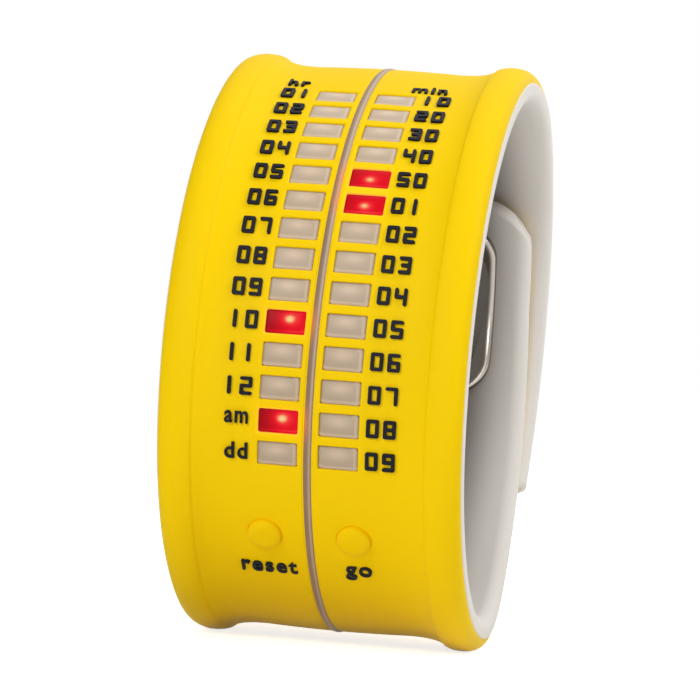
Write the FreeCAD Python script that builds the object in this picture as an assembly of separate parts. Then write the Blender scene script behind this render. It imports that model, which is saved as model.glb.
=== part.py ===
import FreeCAD, Part
import math
import os

# Wrist-worn LED ladder clock on a two-tone silicone band.  Millimetres and degrees.
# The watch is drawn upright: the band runs round the X axis, the face looks along -Y and the
# long axis of the oval stands along +Z.  Every finished piece is leaned back by LEAN.
# A place on the band is (x, station, height): x across the band, station along it from the
# middle of the face, positive over the top and negative under the bottom, and height outwards
# from the line of the central bead's crest.

# ---- The oval ----
OVAL_LONG = 63.8            # long axis, over the central bead
OVAL_SHORT = 56.8           # from the middle of the face to the middle of the back
OVAL_END_INSET = 2.1        # radius of the tighter top and bottom, below half the short axis
LEAN = 30.0                 # how far the long axis tips back as the watch stands

# ---- Section of the band ----
HALF_WIDTH = 16.2           # middle of the band to its side
FACE_HEIGHT = -0.2          # outer face, which is level from the bead to the foot of the rims
RIM_FOOT_X = 8.0            # where the face starts to rise towards the rim
RIM_BEND_X = 11.3           # and turns up sharply
RIM_BEND_HEIGHT = 0.0
CREASE_X = 12.3             # soft edge where the rim's round top starts
CREASE_HEIGHT = 0.62
CREST_X = 13.8              # top of the raised rim
CREST_HEIGHT = 0.85
SKIN_EDGE_INSET = 0.15      # the coloured skin ends this far in from the side
SKIN_EDGE_HEIGHT = -0.65    # parting line between skin and liner
SKIN_TUCK = 1.2             # the skin's underside starts this far in from the side
SKIN_BACK = -1.3            # inside of the skin, outside of the liner
LINER_BACK = -3.1           # inside of the liner, against the wrist
LINER_ROUND = 1.2           # rounding between the liner's side and its inside

# ---- Straps ----
UPPER_HINGE = 44.5          # station where the upper strap starts to flex
UPPER_TIP = 97.5            # its free end, which lies outside
LOWER_HINGE = -78.0         # station where the lower strap starts to flex
LOWER_TIP_UNDER = 57.3      # upper station that the lower strap's free end reaches, inside
DIVE_START = -58.0          # the lower strap's line leaves the oval here
DIVE_CLEARANCE = 1.0        # and is under the upper strap this far before that strap's tip
STRAP_GAP = 0.2             # between the two straps where they overlap
UPPER_TIP_HALF_WIDTH = 15.15    # the upper strap narrows evenly from its hinge to the back
TONGUE_HALF_WIDTH = 13.7    # the lower strap's narrow end
TONGUE_TAPER_LOW = -29.0    # level where the lower side starts to narrow
TONGUE_TAPER_HIGH = 18.0    # level where it has its narrow width
UPPER_CORNER = 2.0          # corner radius of the upper strap's tip
TONGUE_CORNER = 7.0         # corner radius of the lower strap's tip
TIP_RAMP = 8.0              # length over which the upper strap thins to its tip
TIP_DROP = 0.9              # thickness lost at the tip
RIM_FADE = 14.0             # length over which the rims die away before the lower hinge
FLEX_OUTSIDE = 0.15         # each strap turns about a line this far outside the rim's crest

# ---- Display ----
ROWS = 14
ROW_PITCH = 3.46
LADDER_MIDDLE = -4.2        # station halfway between the first and the last row
COLUMN_X = 3.2              # middle of each column of windows
WINDOW_WIDTH = 4.2
WINDOW_LENGTH = 2.5
PAD_GAP = 0.05              # round each translucent pad in its window
PAD_RECESS = 0.1            # the pad's face lies this far below the skin
BEAD_HALF_WIDTH = 0.5
BEAD_GAP = 0.06
BEAD_ROUND_DROP = 0.3       # the bead's round top starts this far below its crest
BEAD_ROOT = -0.9            # bottom of the bead beyond the display
BEAD_TOP = 38.0
BEAD_BOTTOM = -68.0
GUIDE_HALF_WIDTH = 9.2
GUIDE_THICK = 1.2           # translucent sheet between skin and circuit
GUIDE_TOP = 20.5
GUIDE_BOTTOM = -30.5

# ---- Circuit ----
BOARD_THICK = 0.25
BOARD_HALF_WIDTH = 9.4
BOARD_TOP = 20.8
BOARD_BOTTOM = -43.0
BOARD_GAP = 0.15            # round the board's edge in its carrier
LED_SIZE = (1.6, 0.8, 0.6)  # across the band, along it, tall
LED_RISE = 0.35             # each LED sits above the middle of its window
LED_POCKET_GAP = 0.1
CHIP_SIZE = (4.0, 4.0, 0.8)
CHIP_PLACE = (-3.6, -29.2)
CRYSTAL_SIZE = (3.2, 1.5, 0.75)
CRYSTAL_PLACE = (3.4, -27.6)
CAPACITOR_SIZE = (1.6, 0.8, 0.7)
CAPACITOR_PLACE = (1.4, -30.4)
CAPACITOR_COUNT = 3
RESISTOR_SIZE = (0.5, 1.0, 0.35)
RESISTOR_PLACE = (-5.6, -33.2)
RESISTOR_COUNT = 8
RESISTOR_PITCH = 1.6
CAPACITOR_PITCH = 2.4
PARTS_ROOM = 0.15           # clearance round the components in the carrier

# ---- Buttons and switches ----
BUTTON_STATION = -36.2
BUTTON_X = 4.75
BUTTON_RADIUS = 1.85
BUTTON_PROUD = 0.5          # the cap's edge above the skin
BUTTON_DOME = 0.2           # and its middle above its edge
BUTTON_GAP = 0.08
BUTTON_FLANGE_RADIUS = 2.5
BUTTON_FLANGE_THICK = 0.3
BUTTON_TRAVEL = 0.25
SWITCH_SIZE = (3.6, 3.0, 0.6)
PLUNGER_RADIUS = 0.7
PLUNGER_DEEP = 0.25         # inside the switch body at rest
PLUNGER_GAP = 0.05

# ---- Battery bay ----
CELL_RADIUS = 8.0
CELL_THICK = 1.6
CELL_GAP = 0.1
CELL_APART = 2.5            # each cell's edge from the middle of the cover
BAY_FLOOR = -4.25
CONTACT_THICK = 0.2
CONTACT_HALF_WIDTH = 2.5
CONTACT_LENGTH = 9.0
LINK_OVERLAP = 3.5          # of the strip that joins the two cells, past each cell's middle
PIN_RADIUS = 0.4
PIN_GAP = 0.05
COVER_MIDDLE = -0.5
COVER_MARGIN = 1.9          # from the screws' middles to the cover's sides
COVER_THICK = 0.7
COVER_GAP = 0.05
COVER_CORNER = 2.0
GASKET_THICK = 0.25
GASKET_WIDTH = 0.8
GASKET_INSET = 0.2          # from a bay's edge to the gasket
COVER_LIP = 0.3             # from the gasket to the cover's ends
SCREW_OUT = 0.1             # from the line of the cells' sides to the screws' middles
SCREW_BEYOND = 0.9          # and from the cells' far edges
SCREW_RADIUS = 0.7
SCREW_LENGTH = 2.2
SCREW_HEAD_RADIUS = 1.3
SCREW_HEAD_THICK = 0.4
SCREW_RECESS_RADIUS = 0.45
INSERT_RADIUS = 1.3
INSERT_LENGTH = 2.4
THREAD_GAP = 0.02
SHANK_GAP = 0.1

# ---- Carrier and its place in the liner ----
CARRIER_MARGIN = 0.9        # from the cover's sides to the carrier's
CARRIER_BEYOND = 5.4        # from the cells' far edges to the ends of the carrier's thick part
CARRIER_FOOT = 2.0          # from the board's lower end to the carrier's
CARRIER_THIN_BACK = -4.4
LINER_FLOOR = 0.7           # silicone under the thin part of the carrier
BULGE_MARGIN = 1.9          # silicone beside the carrier where the liner bulges inwards
BULGE_LEDGE = 1.0           # silicone past the carrier's ends before the bulge slopes away
BULGE_FADE = 5.5            # and to the end of the slope
BULGE_CORNER = 1.0

# ---- Clasp ----
PLATE_HALF_WIDTH = 10.0
PLATE_HALF_LENGTH = 12.9
PLATE_UNDER = 73.4          # upper station over the plate's middle
PLATE_CORNER = 5.0
PLATE_THICK = 0.9
STUD_X = 5.0
STUD_FIRST = 70.5           # upper station of the first pair of studs
STUD_PITCH = 7.0
STUD_ROWS = 2
STUD_RADIUS = 1.5
STUD_RISE = 2.1             # above the lower strap's outer face
STUD_TAPER = 1.5            # the part of that which is tapered
STUD_TIP_RADIUS = 0.9
STUD_SHANK_RADIUS = 1.1
STUD_COLLAR_RADIUS = 2.1
STUD_COLLAR_THICK = 0.5
SLOT_FIRST = 56.5
SLOT_ROWS = 6
SLOT_GAP = 0.2
SLOT_SLIDE = 1.2            # room for a stud to slip along as the strap lifts off

# ---- Worked out from the above ----
OVAL_END_RADIUS = OVAL_SHORT / 2 - OVAL_END_INSET
END_RISE = OVAL_LONG / 2 - OVAL_END_RADIUS
FLAT_RADIUS = ((END_RISE ** 2 + (OVAL_SHORT / 2) ** 2 - OVAL_END_RADIUS ** 2)
               / (OVAL_SHORT - 2 * OVAL_END_RADIUS))
FLAT_SHIFT = FLAT_RADIUS - OVAL_SHORT / 2
JOIN_ANGLE = math.degrees(math.atan2(END_RISE, FLAT_SHIFT))
STRAP_DROP = FACE_HEIGHT - LINER_BACK + STRAP_GAP
FLEX_HEIGHT = CREST_HEIGHT + FLEX_OUTSIDE
CELL_SPREAD = CELL_RADIUS + CELL_APART
CELL_REACH = CELL_SPREAD + CELL_RADIUS
LINK_HALF_LENGTH = CELL_SPREAD + LINK_OVERLAP
SCREW_X = CELL_RADIUS + SCREW_OUT
SCREW_SPREAD = CELL_REACH + SCREW_BEYOND
COVER_HALF_WIDTH = SCREW_X + COVER_MARGIN
CARRIER_HALF_WIDTH = COVER_HALF_WIDTH + CARRIER_MARGIN
CARRIER_TOP = COVER_MIDDLE + CELL_REACH + CARRIER_BEYOND
CARRIER_STEP = COVER_MIDDLE - CELL_REACH - CARRIER_BEYOND
CARRIER_BOTTOM = BOARD_BOTTOM - CARRIER_FOOT
SKIN_EDGE_X = HALF_WIDTH - SKIN_EDGE_INSET
GUIDE_BACK = SKIN_BACK - GUIDE_THICK
BOARD_BACK = GUIDE_BACK - BOARD_THICK
CELL_FRONT = BAY_FLOOR - CONTACT_THICK
CARRIER_BACK = CELL_FRONT - CELL_THICK
COVER_FRONT = CARRIER_BACK - GASKET_THICK
COVER_BACK = COVER_FRONT - COVER_THICK
THIN_LINER_BACK = CARRIER_THIN_BACK - LINER_FLOOR
SWITCH_TOP = GUIDE_BACK + SWITCH_SIZE[2]
BUTTON_FOOT = SKIN_BACK - BUTTON_FLANGE_THICK
PAD_FACE = FACE_HEIGHT - PAD_RECESS
FAR = 60.0                  # further out than anything on the watch
RAMP_REACH = 6.0            # how far a sloping cut goes on past its curve
CLEAR = 1.0                 # how far a cutting tool passes beyond what it cuts
BENT_EXCESS = 1.7           # a bent strip is this many times longer than the outline cut from it

ROW_STATIONS = [LADDER_MIDDLE + ROW_PITCH * ((ROWS - 1) / 2 - row) for row in range(ROWS)]


# ---- The band's line ----
def spot(x, y, z, radius, angle):
    """A point on a circle about (y, z); the angle is 0 forwards, 90 upwards and 180 backwards."""
    turn = math.radians(angle)
    return FreeCAD.Vector(x, y - radius * math.cos(turn), z + radius * math.sin(turn))


def heading(angle):
    """Direction of travel along the band where the outward direction has this angle."""
    turn = math.radians(angle)
    return FreeCAD.Vector(0, math.sin(turn), math.cos(turn))


def stretch(arcs, start, end):
    """The part of a chain of (y, z, radius, angle, sweep) arcs between two distances along it."""
    found = []
    done = 0.0
    for y, z, radius, angle, sweep in arcs:
        span = radius * math.radians(sweep)
        low = max(start - done, 0.0)
        high = min(end - done, span)
        if high - low > 1e-6:
            turn = math.degrees(1 / radius)
            found.append((y, z, radius, angle + low * turn, (high - low) * turn))
        done += span
    return found


def distance_to(arcs, angle):
    """Distance along the chain to the place whose outward direction has this angle."""
    done = 0.0
    for _, _, radius, first, sweep in arcs:
        done += radius * math.radians(min(max(angle - first, 0.0), sweep))
    return done


def oval_arcs():
    """The oval from the middle of the face, once round but for the last half of the face."""
    end_sweep = 180 - 2 * JOIN_ANGLE
    return [
        (FLAT_SHIFT, 0.0, FLAT_RADIUS, 0.0, JOIN_ANGLE),
        (0.0, END_RISE, OVAL_END_RADIUS, JOIN_ANGLE, end_sweep),
        (-FLAT_SHIFT, 0.0, FLAT_RADIUS, 180 - JOIN_ANGLE, 2 * JOIN_ANGLE),
        (0.0, -END_RISE, OVAL_END_RADIUS, 180 + JOIN_ANGLE, end_sweep),
    ]


def arc_from(start, angle, end_angle, tangent):
    """The arc that leaves a point and turns to another angle over a given tangent length."""
    sweep = end_angle - angle
    radius = tangent / math.tan(math.radians(sweep / 2))
    centre = start - spot(0, 0, 0, radius, angle)
    return (centre.y, centre.z, radius, angle, sweep)


def biarc(first, first_angle, last, last_angle):
    """Two tangent arcs with equal tangent lengths that join two points and directions."""
    leave = heading(first_angle)
    arrive = heading(last_angle)
    gap = last - first
    a = 2 * (1 - leave.dot(arrive))
    b = 2 * gap.dot(leave + arrive)
    tangent = (math.sqrt(b * b + 4 * a * gap.dot(gap)) - b) / (2 * a)
    chord = (last - arrive * tangent) - (first + leave * tangent)
    middle = first + leave * tangent + chord * 0.5
    middle_angle = math.degrees(math.atan2(chord.y, chord.z))
    return [
        arc_from(first, first_angle, middle_angle, tangent),
        arc_from(middle, middle_angle, last_angle, tangent),
    ]


def lower_arcs():
    """The lower strap's line, drawn as if it ran upwards: it leaves the oval and dives inside it."""
    oval = oval_arcs()
    tip_angle = stretch(oval, UPPER_TIP, UPPER_TIP + CLEAR)[0][3]
    dive_end = distance_to(oval, 360 - tip_angle) - DIVE_CLEARANCE
    y, z, radius, end_angle, _ = stretch(oval, dive_end, dive_end + CLEAR)[0]
    first_y, first_z, first_radius, start_angle, _ = stretch(oval, -DIVE_START, CLEAR - DIVE_START)[0]
    first = spot(0, first_y, first_z, first_radius, start_angle)
    last = spot(0, y, z, radius - STRAP_DROP, end_angle)
    tail = stretch(oval, dive_end, FAR * math.pi)
    inner = [(cy, cz, r - STRAP_DROP, angle, sweep) for cy, cz, r, angle, sweep in tail]
    return stretch(oval, 0, -DIVE_START) + biarc(first, start_angle, last, end_angle) + inner


UP = oval_arcs()
DOWN = lower_arcs()


def pieces(start, end):
    """The arcs between two stations, those below the middle of the face mirrored from DOWN."""
    found = []
    for y, z, radius, angle, sweep in reversed(stretch(DOWN, max(-end, 0.0), -start)):
        found.append((y, -z, radius, -angle - sweep, sweep))
    rising = stretch(UP, max(start, 0.0), end)
    if found and rising:
        y, z, radius, angle, sweep = found.pop()
        found.append((y, z, radius, angle, sweep + rising.pop(0)[4]))
    return found + rising


def frame(station):
    """Centre of the arc at a station, its radius and the angle of the outward direction."""
    arcs = DOWN if station < 0 else UP
    y, z, radius, angle, _ = stretch(arcs, abs(station), abs(station) + 0.01)[0]
    return (y, -z, radius, -angle) if station < 0 else (y, z, radius, angle)


def point(x, station, height):
    y, z, radius, angle = frame(station)
    return spot(x, y, z, radius + height, angle)


def placement(x, station):
    """Local X across the band, local Y along it upwards from the face, local Z outwards."""
    turn = FreeCAD.Rotation(FreeCAD.Vector(1, 0, 0), 90 - frame(station)[3])
    return FreeCAD.Placement(point(x, station, 0), turn)


def under(station):
    """Station of the lower strap that lies under a station of the upper strap."""
    return -distance_to(DOWN, 360 - frame(station)[3])


LOWER_TIP = under(LOWER_TIP_UNDER)


# ---- Shapes that follow the band ----
def outline(corners, place):
    """A closed wire: (x, h) is joined by a line and (via_x, via_h, x, h) by an arc."""
    edges = []
    last = place(*corners[-1][-2:])
    for corner in corners:
        here = place(*corner[-2:])
        if len(corner) == 4:
            edges.append(Part.Arc(last, place(*corner[:2]), here).toShape())
        elif last.distanceToPoint(here) > 1e-6:
            edges.append(Part.LineSegment(last, here).toShape())
        last = here
    return Part.Wire(edges)


def joined(solids):
    """One solid from several that touch, with no seams left between like surfaces."""
    whole = solids[0]
    if len(solids) > 1:
        whole = whole.fuse(solids[1:]).removeSplitter()
    return whole


def swept(corners, start, end):
    """A section carried along the band from one station to another."""
    solids = []
    for y, z, radius, angle, sweep in pieces(start, end):
        section = outline(corners, lambda x, h: spot(x, y, z, radius + h, angle))
        face = Part.Face(section)
        solids.append(face.revolve(FreeCAD.Vector(0, y, z), FreeCAD.Vector(-1, 0, 0), sweep))
    return joined(solids)


def strip(half_width, low, high, start, end):
    """A plain rectangular section carried along the band."""
    corners = [(-half_width, low), (half_width, low), (half_width, high), (-half_width, high)]
    return swept(corners, start, end)


def rounded(half_x, half_y, corner):
    """Corners of a rounded rectangle for outline()."""
    slack = corner * (1 - math.sqrt(0.5))
    found = []
    for sx, sy in ((1, -1), (1, 1), (-1, 1), (-1, -1)):
        entry = (sx * (half_x - corner), sy * half_y)
        leave = (sx * half_x, sy * (half_y - corner))
        if sx * sy > 0:
            entry, leave = leave, entry
        via = (sx * (half_x - slack), sy * (half_y - slack))
        found.append(entry)
        found.append(via + leave)
    return found


def slab(x, station, size, corner, low, high):
    """A rounded rectangle that stands square to the band between two heights."""
    wire = outline(rounded(size[0] / 2, size[1] / 2, corner), lambda a, b: FreeCAD.Vector(a, b, low))
    block = Part.Face(wire).extrude(FreeCAD.Vector(0, 0, high - low))
    return block.transformed(placement(x, station).toMatrix(), True)


def block(x, station, size, low):
    """A plain box that stands square to the band on a height."""
    box = Part.makeBox(*size, FreeCAD.Vector(-size[0] / 2, -size[1] / 2, low))
    return box.transformed(placement(x, station).toMatrix(), True)


def peg(x, station, radius, low, high):
    pin = Part.makeCylinder(radius, high - low, FreeCAD.Vector(0, 0, low))
    return pin.transformed(placement(x, station).toMatrix(), True)


def turned(x, station, profile):
    """A solid turned about the outward direction from (radius, height) corners."""
    wire = outline(profile, lambda r, h: FreeCAD.Vector(r, 0, h))
    body = Part.Face(wire).revolve(FreeCAD.Vector(0, 0, 0), FreeCAD.Vector(0, 0, 1), 360)
    return body.transformed(placement(x, station).toMatrix(), True)


def ramp(start, end, heights, reach):
    """All that lies beyond a curve through three heights from station to station; reach has a sign."""
    first, middle, last = heights
    corner = [point(-FAR, start, first), point(-FAR, end, last)]
    curve = Part.Arc(corner[0], point(-FAR, (start + end) / 2, middle), corner[1])
    far = [point(-FAR, end, last + reach), point(-FAR, start, first + reach)]
    sides = Part.makePolygon([corner[1], far[0], far[1], corner[0]])
    return Part.Face(Part.Wire([curve.toShape()] + sides.Edges)).extrude(FreeCAD.Vector(2 * FAR, 0, 0))


def narrowing(profile, high_axis):
    """Prisms beside the band; profile gives (half width, level) with levels along Y or along Z."""
    tools = []
    for side in (-1, 1):
        corners = profile + [(FAR, profile[-1][1]), (FAR, profile[0][1])]
        if high_axis:
            points = [FreeCAD.Vector(side * x, 0, level) for x, level in corners]
            along = FreeCAD.Vector(0, FAR, 0)
        else:
            points = [FreeCAD.Vector(side * x, level, -FAR) for x, level in corners]
            along = FreeCAD.Vector(0, 0, 2 * FAR)
        tools.append(Part.Face(Part.makePolygon(points + points[:1])).extrude(along))
    return tools


def corner_cuts(station, side, half_width, radius, low, high):
    """What to take off the two corners of an end that faces along the band (side 1) or back (-1)."""
    tools = []
    for across in (-1, 1):
        reach = radius + CLEAR
        box = Part.makeBox(reach, reach, high - low, FreeCAD.Vector(0, 0, low))
        tool = box.cut(Part.makeCylinder(radius, high - low, FreeCAD.Vector(0, 0, low)))
        if across * side < 0:
            tool = tool.mirror(FreeCAD.Vector(0, 0, 0), FreeCAD.Vector(1, 0, 0))
        if side < 0:
            tool.rotate(FreeCAD.Vector(0, 0, 0), FreeCAD.Vector(0, 0, 1), 180)
        tool.translate(FreeCAD.Vector(across * (half_width - radius), -side * radius, 0))
        tools.append(tool.transformed(placement(0, station).toMatrix(), True))
    return tools


def upper_narrowing():
    start = point(0, UPPER_HINGE, 0).y
    return narrowing([(HALF_WIDTH, start), (UPPER_TIP_HALF_WIDTH, OVAL_SHORT / 2), (UPPER_TIP_HALF_WIDTH, FAR)],
                     False)


def lower_narrowing():
    return narrowing([(HALF_WIDTH, TONGUE_TAPER_LOW), (TONGUE_HALF_WIDTH, TONGUE_TAPER_HIGH),
                      (TONGUE_HALF_WIDTH, FAR)], True)


# ---- Sections of the two layers ----
def skin_section():
    tuck = HALF_WIDTH - SKIN_TUCK
    slope = [(RIM_FOOT_X, FACE_HEIGHT), (RIM_BEND_X, RIM_BEND_HEIGHT), (CREASE_X, CREASE_HEIGHT)]
    rim = [(CREST_X, CREST_HEIGHT, CREASE_X, CREASE_HEIGHT)] + slope[1::-1]
    corners = [(-tuck, SKIN_BACK), (tuck, SKIN_BACK), (SKIN_EDGE_X, SKIN_EDGE_HEIGHT)] + rim
    corners += [(-x, height) for x, height in slope]
    return corners + [(-CREST_X, CREST_HEIGHT, -SKIN_EDGE_X, SKIN_EDGE_HEIGHT)]


def liner_section():
    tuck = HALF_WIDTH - SKIN_TUCK
    side = SKIN_EDGE_HEIGHT - SKIN_EDGE_INSET
    inset = LINER_ROUND * (1 - math.sqrt(0.5))
    via = (HALF_WIDTH - inset, LINER_BACK + inset)
    return [
        (-tuck, SKIN_BACK),
        (-SKIN_EDGE_X, SKIN_EDGE_HEIGHT),
        (-HALF_WIDTH, side),
        (-HALF_WIDTH, LINER_BACK + LINER_ROUND),
        (-via[0], via[1], LINER_ROUND - HALF_WIDTH, LINER_BACK),
        (HALF_WIDTH - LINER_ROUND, LINER_BACK),
        via + (HALF_WIDTH, LINER_BACK + LINER_ROUND),
        (HALF_WIDTH, side),
        (SKIN_EDGE_X, SKIN_EDGE_HEIGHT),
        (tuck, SKIN_BACK),
    ]


def bulge_section(back):
    """The liner's thicker middle, which holds the module; its inner corners are cut off."""
    half = CARRIER_HALF_WIDTH + BULGE_MARGIN
    return [
        (-half, LINER_BACK + LINER_ROUND),
        (-half, back + BULGE_CORNER),
        (BULGE_CORNER - half, back),
        (half - BULGE_CORNER, back),
        (half, back + BULGE_CORNER),
        (half, LINER_BACK + LINER_ROUND),
    ]


# ---- The case: skin, liner and what they hold ----
def windows(gap, low, high):
    size = (WINDOW_WIDTH - 2 * gap, WINDOW_LENGTH - 2 * gap, high - low)
    return [block(x, station, size, low) for station in ROW_STATIONS for x in (-COLUMN_X, COLUMN_X)]


def case_skin():
    body = swept(skin_section(), LOWER_HINGE, UPPER_HINGE)
    tools = windows(0, SKIN_BACK - CLEAR, CREST_HEIGHT)
    slot = BEAD_HALF_WIDTH + BEAD_GAP
    tools.append(strip(slot, BEAD_ROOT, CREST_HEIGHT, BEAD_BOTTOM - BEAD_GAP, BEAD_TOP + BEAD_GAP))
    tools.append(strip(slot, SKIN_BACK - CLEAR, CREST_HEIGHT, GUIDE_BOTTOM, GUIDE_TOP))
    tools += [peg(x, BUTTON_STATION, BUTTON_RADIUS + BUTTON_GAP, SKIN_BACK - CLEAR, CREST_HEIGHT)
              for x in (-BUTTON_X, BUTTON_X)]
    tools += lower_narrowing()
    tools += [peg(x, BUTTON_STATION, BUTTON_FLANGE_RADIUS + BUTTON_GAP, SKIN_BACK - CLEAR, SKIN_BACK)
              for x in (-BUTTON_X, BUTTON_X)]
    heights = (FACE_HEIGHT, (CREST_HEIGHT + FACE_HEIGHT) / 2 + FLEX_OUTSIDE, FLEX_HEIGHT)
    tools.append(ramp(LOWER_HINGE, LOWER_HINGE + RIM_FADE, heights, RAMP_REACH))
    return body.cut(tools)


def module_space():
    """The room in the liner for the module and for everything in front of its board."""
    tools = [
        strip(GUIDE_HALF_WIDTH, GUIDE_BACK - CLEAR, SKIN_BACK + CLEAR, GUIDE_BOTTOM, GUIDE_TOP),
        strip(CARRIER_HALF_WIDTH, CARRIER_THIN_BACK, GUIDE_BACK, CARRIER_BOTTOM, CARRIER_TOP),
        strip(CARRIER_HALF_WIDTH, CARRIER_BACK, GUIDE_BACK, CARRIER_STEP, CARRIER_TOP),
    ]
    room = BUTTON_FLANGE_RADIUS + BUTTON_TRAVEL
    tools += [peg(x, BUTTON_STATION, room, GUIDE_BACK - BOARD_THICK, SKIN_BACK + CLEAR)
              for x in (-BUTTON_X, BUTTON_X)]
    return tools


def bulge(back, start, end):
    """Thicker silicone behind a stretch of the carrier, sloping away at both ends."""
    body = swept(bulge_section(back), start - BULGE_FADE, end + BULGE_FADE)
    rise = (back, (back + LINER_BACK) / 2, LINER_BACK + CLEAR / 10)
    high = ramp(end + BULGE_LEDGE, end + BULGE_FADE + CLEAR / 10, rise, -RAMP_REACH)
    low = ramp(start - BULGE_FADE - CLEAR / 10, start - BULGE_LEDGE, rise[::-1], -RAMP_REACH)
    return body.cut([high, low])


def case_liner():
    body = swept(liner_section(), LOWER_HINGE, UPPER_HINGE)
    body = body.fuse([bulge(COVER_BACK, CARRIER_STEP, CARRIER_TOP),
                      bulge(THIN_LINER_BACK, CARRIER_BOTTOM, CARRIER_STEP)])
    return body.cut(module_space() + lower_narrowing() + [cover_shape(COVER_GAP, COVER_BACK - CLEAR, CARRIER_BACK)])


def light_guide():
    """One translucent moulding: the sheet over the LEDs, the window pads and the central bead."""
    foot = SKIN_BACK - GUIDE_THICK / 2
    bead = [
        (-BEAD_HALF_WIDTH, BEAD_ROOT),
        (BEAD_HALF_WIDTH, BEAD_ROOT),
        (BEAD_HALF_WIDTH, -BEAD_ROUND_DROP),
        (0, 0, -BEAD_HALF_WIDTH, -BEAD_ROUND_DROP),
    ]
    body = strip(GUIDE_HALF_WIDTH, GUIDE_BACK, SKIN_BACK, GUIDE_BOTTOM, GUIDE_TOP)
    added = windows(PAD_GAP, foot, PAD_FACE)
    added.append(strip(BEAD_HALF_WIDTH, foot, -BEAD_ROUND_DROP, GUIDE_BOTTOM, GUIDE_TOP))
    added.append(swept(bead, BEAD_BOTTOM, BEAD_TOP))
    size = [length + 2 * LED_POCKET_GAP for length in LED_SIZE]
    pockets = [block(x, station + LED_RISE, size, GUIDE_BACK - LED_POCKET_GAP)
               for station in ROW_STATIONS for x in (-COLUMN_X, COLUMN_X)]
    return body.fuse(added).cut(pockets)


def led_board():
    return strip(BOARD_HALF_WIDTH, BOARD_BACK, GUIDE_BACK, BOARD_BOTTOM, BOARD_TOP)


def leds(x):
    return [block(x, station + LED_RISE, LED_SIZE, GUIDE_BACK) for station in ROW_STATIONS]


def back_parts(place, size, count, pitch, room):
    """A row of like components on the board's inner side, or the room for them."""
    grown = (size[0] + 2 * room, size[1] + 2 * room, size[2] + room)
    boxes = [block(place[0] + pitch * index, place[1], grown, BOARD_BACK - grown[2]) for index in range(count)]
    return boxes if room else [box.cut(led_board()) for box in boxes]


def chips(room=0.0):
    return back_parts(CHIP_PLACE, CHIP_SIZE, 1, 0, room)


def crystals(room=0.0):
    return back_parts(CRYSTAL_PLACE, CRYSTAL_SIZE, 1, 0, room)


def capacitors(room=0.0):
    return back_parts(CAPACITOR_PLACE, CAPACITOR_SIZE, CAPACITOR_COUNT, CAPACITOR_PITCH, room)


def resistors(room=0.0):
    return back_parts(RESISTOR_PLACE, RESISTOR_SIZE, RESISTOR_COUNT, RESISTOR_PITCH, room)


def switch(x):
    hole = peg(x, BUTTON_STATION, PLUNGER_RADIUS + PLUNGER_GAP,
               SWITCH_TOP - PLUNGER_DEEP - BUTTON_TRAVEL, SWITCH_TOP + CLEAR)
    return block(x, BUTTON_STATION, SWITCH_SIZE, GUIDE_BACK).cut(hole)


def plunger(x):
    return peg(x, BUTTON_STATION, PLUNGER_RADIUS, SWITCH_TOP - PLUNGER_DEEP, BUTTON_FOOT)


def button(x):
    edge = FACE_HEIGHT + BUTTON_PROUD
    dome_radius = (BUTTON_RADIUS ** 2 + BUTTON_DOME ** 2) / (2 * BUTTON_DOME)
    half = BUTTON_RADIUS / 2
    via = (half, edge + BUTTON_DOME - dome_radius + math.sqrt(dome_radius ** 2 - half ** 2))
    return turned(x, BUTTON_STATION, [
        (0, BUTTON_FOOT),
        (BUTTON_FLANGE_RADIUS, BUTTON_FOOT),
        (BUTTON_FLANGE_RADIUS, SKIN_BACK),
        (BUTTON_RADIUS, SKIN_BACK),
        (BUTTON_RADIUS, edge),
        via + (0, edge + BUTTON_DOME),
    ])


# ---- Battery bay ----
def cell_stations():
    return [COVER_MIDDLE + CELL_SPREAD, COVER_MIDDLE - CELL_SPREAD]


def screw_places():
    return [(side * SCREW_X, COVER_MIDDLE + end * SCREW_SPREAD) for end in (1, -1) for side in (1, -1)]


def cell_bays():
    return [peg(0, station, CELL_RADIUS + CELL_GAP, CARRIER_BACK - 2 * CLEAR, BAY_FLOOR)
            for station in cell_stations()]


def carrier_bores():
    """Bores for the inserts and holes for the contacts' pins."""
    tools = [peg(x, station, INSERT_RADIUS, CARRIER_BACK - CLEAR, CARRIER_BACK + INSERT_LENGTH)
             for x, station in screw_places()]
    tools += [peg(0, station, PIN_RADIUS + PIN_GAP, BAY_FLOOR - CLEAR, BOARD_BACK) for station in cell_stations()]
    return tools + [peg(0, COVER_MIDDLE, PIN_RADIUS + PIN_GAP, CARRIER_BACK - CLEAR, BOARD_BACK)]


def board_carrier():
    body = strip(CARRIER_HALF_WIDTH, CARRIER_THIN_BACK, GUIDE_BACK, CARRIER_BOTTOM, CARRIER_STEP)
    body = body.fuse(strip(CARRIER_HALF_WIDTH, CARRIER_BACK, GUIDE_BACK, CARRIER_STEP, CARRIER_TOP))
    tools = [strip(BOARD_HALF_WIDTH + BOARD_GAP, BOARD_BACK, GUIDE_BACK + CLEAR,
                   BOARD_BOTTOM - BOARD_GAP, BOARD_TOP + BOARD_GAP)]
    tools += chips(PARTS_ROOM) + crystals(PARTS_ROOM) + capacitors(PARTS_ROOM) + resistors(PARTS_ROOM)
    return body.cut(cell_bays()).cut(tools + carrier_bores())


def coin_cell(station):
    lip = CELL_THICK / 8
    return turned(0, station, [
        (0, CARRIER_BACK),
        (CELL_RADIUS - lip, CARRIER_BACK),
        (CELL_RADIUS, CARRIER_BACK + lip),
        (CELL_RADIUS, CELL_FRONT - 2 * lip),
        (CELL_RADIUS - lip, CELL_FRONT - 2 * lip),
        (CELL_RADIUS - 3 * lip, CELL_FRONT),
        (0, CELL_FRONT),
    ])


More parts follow.
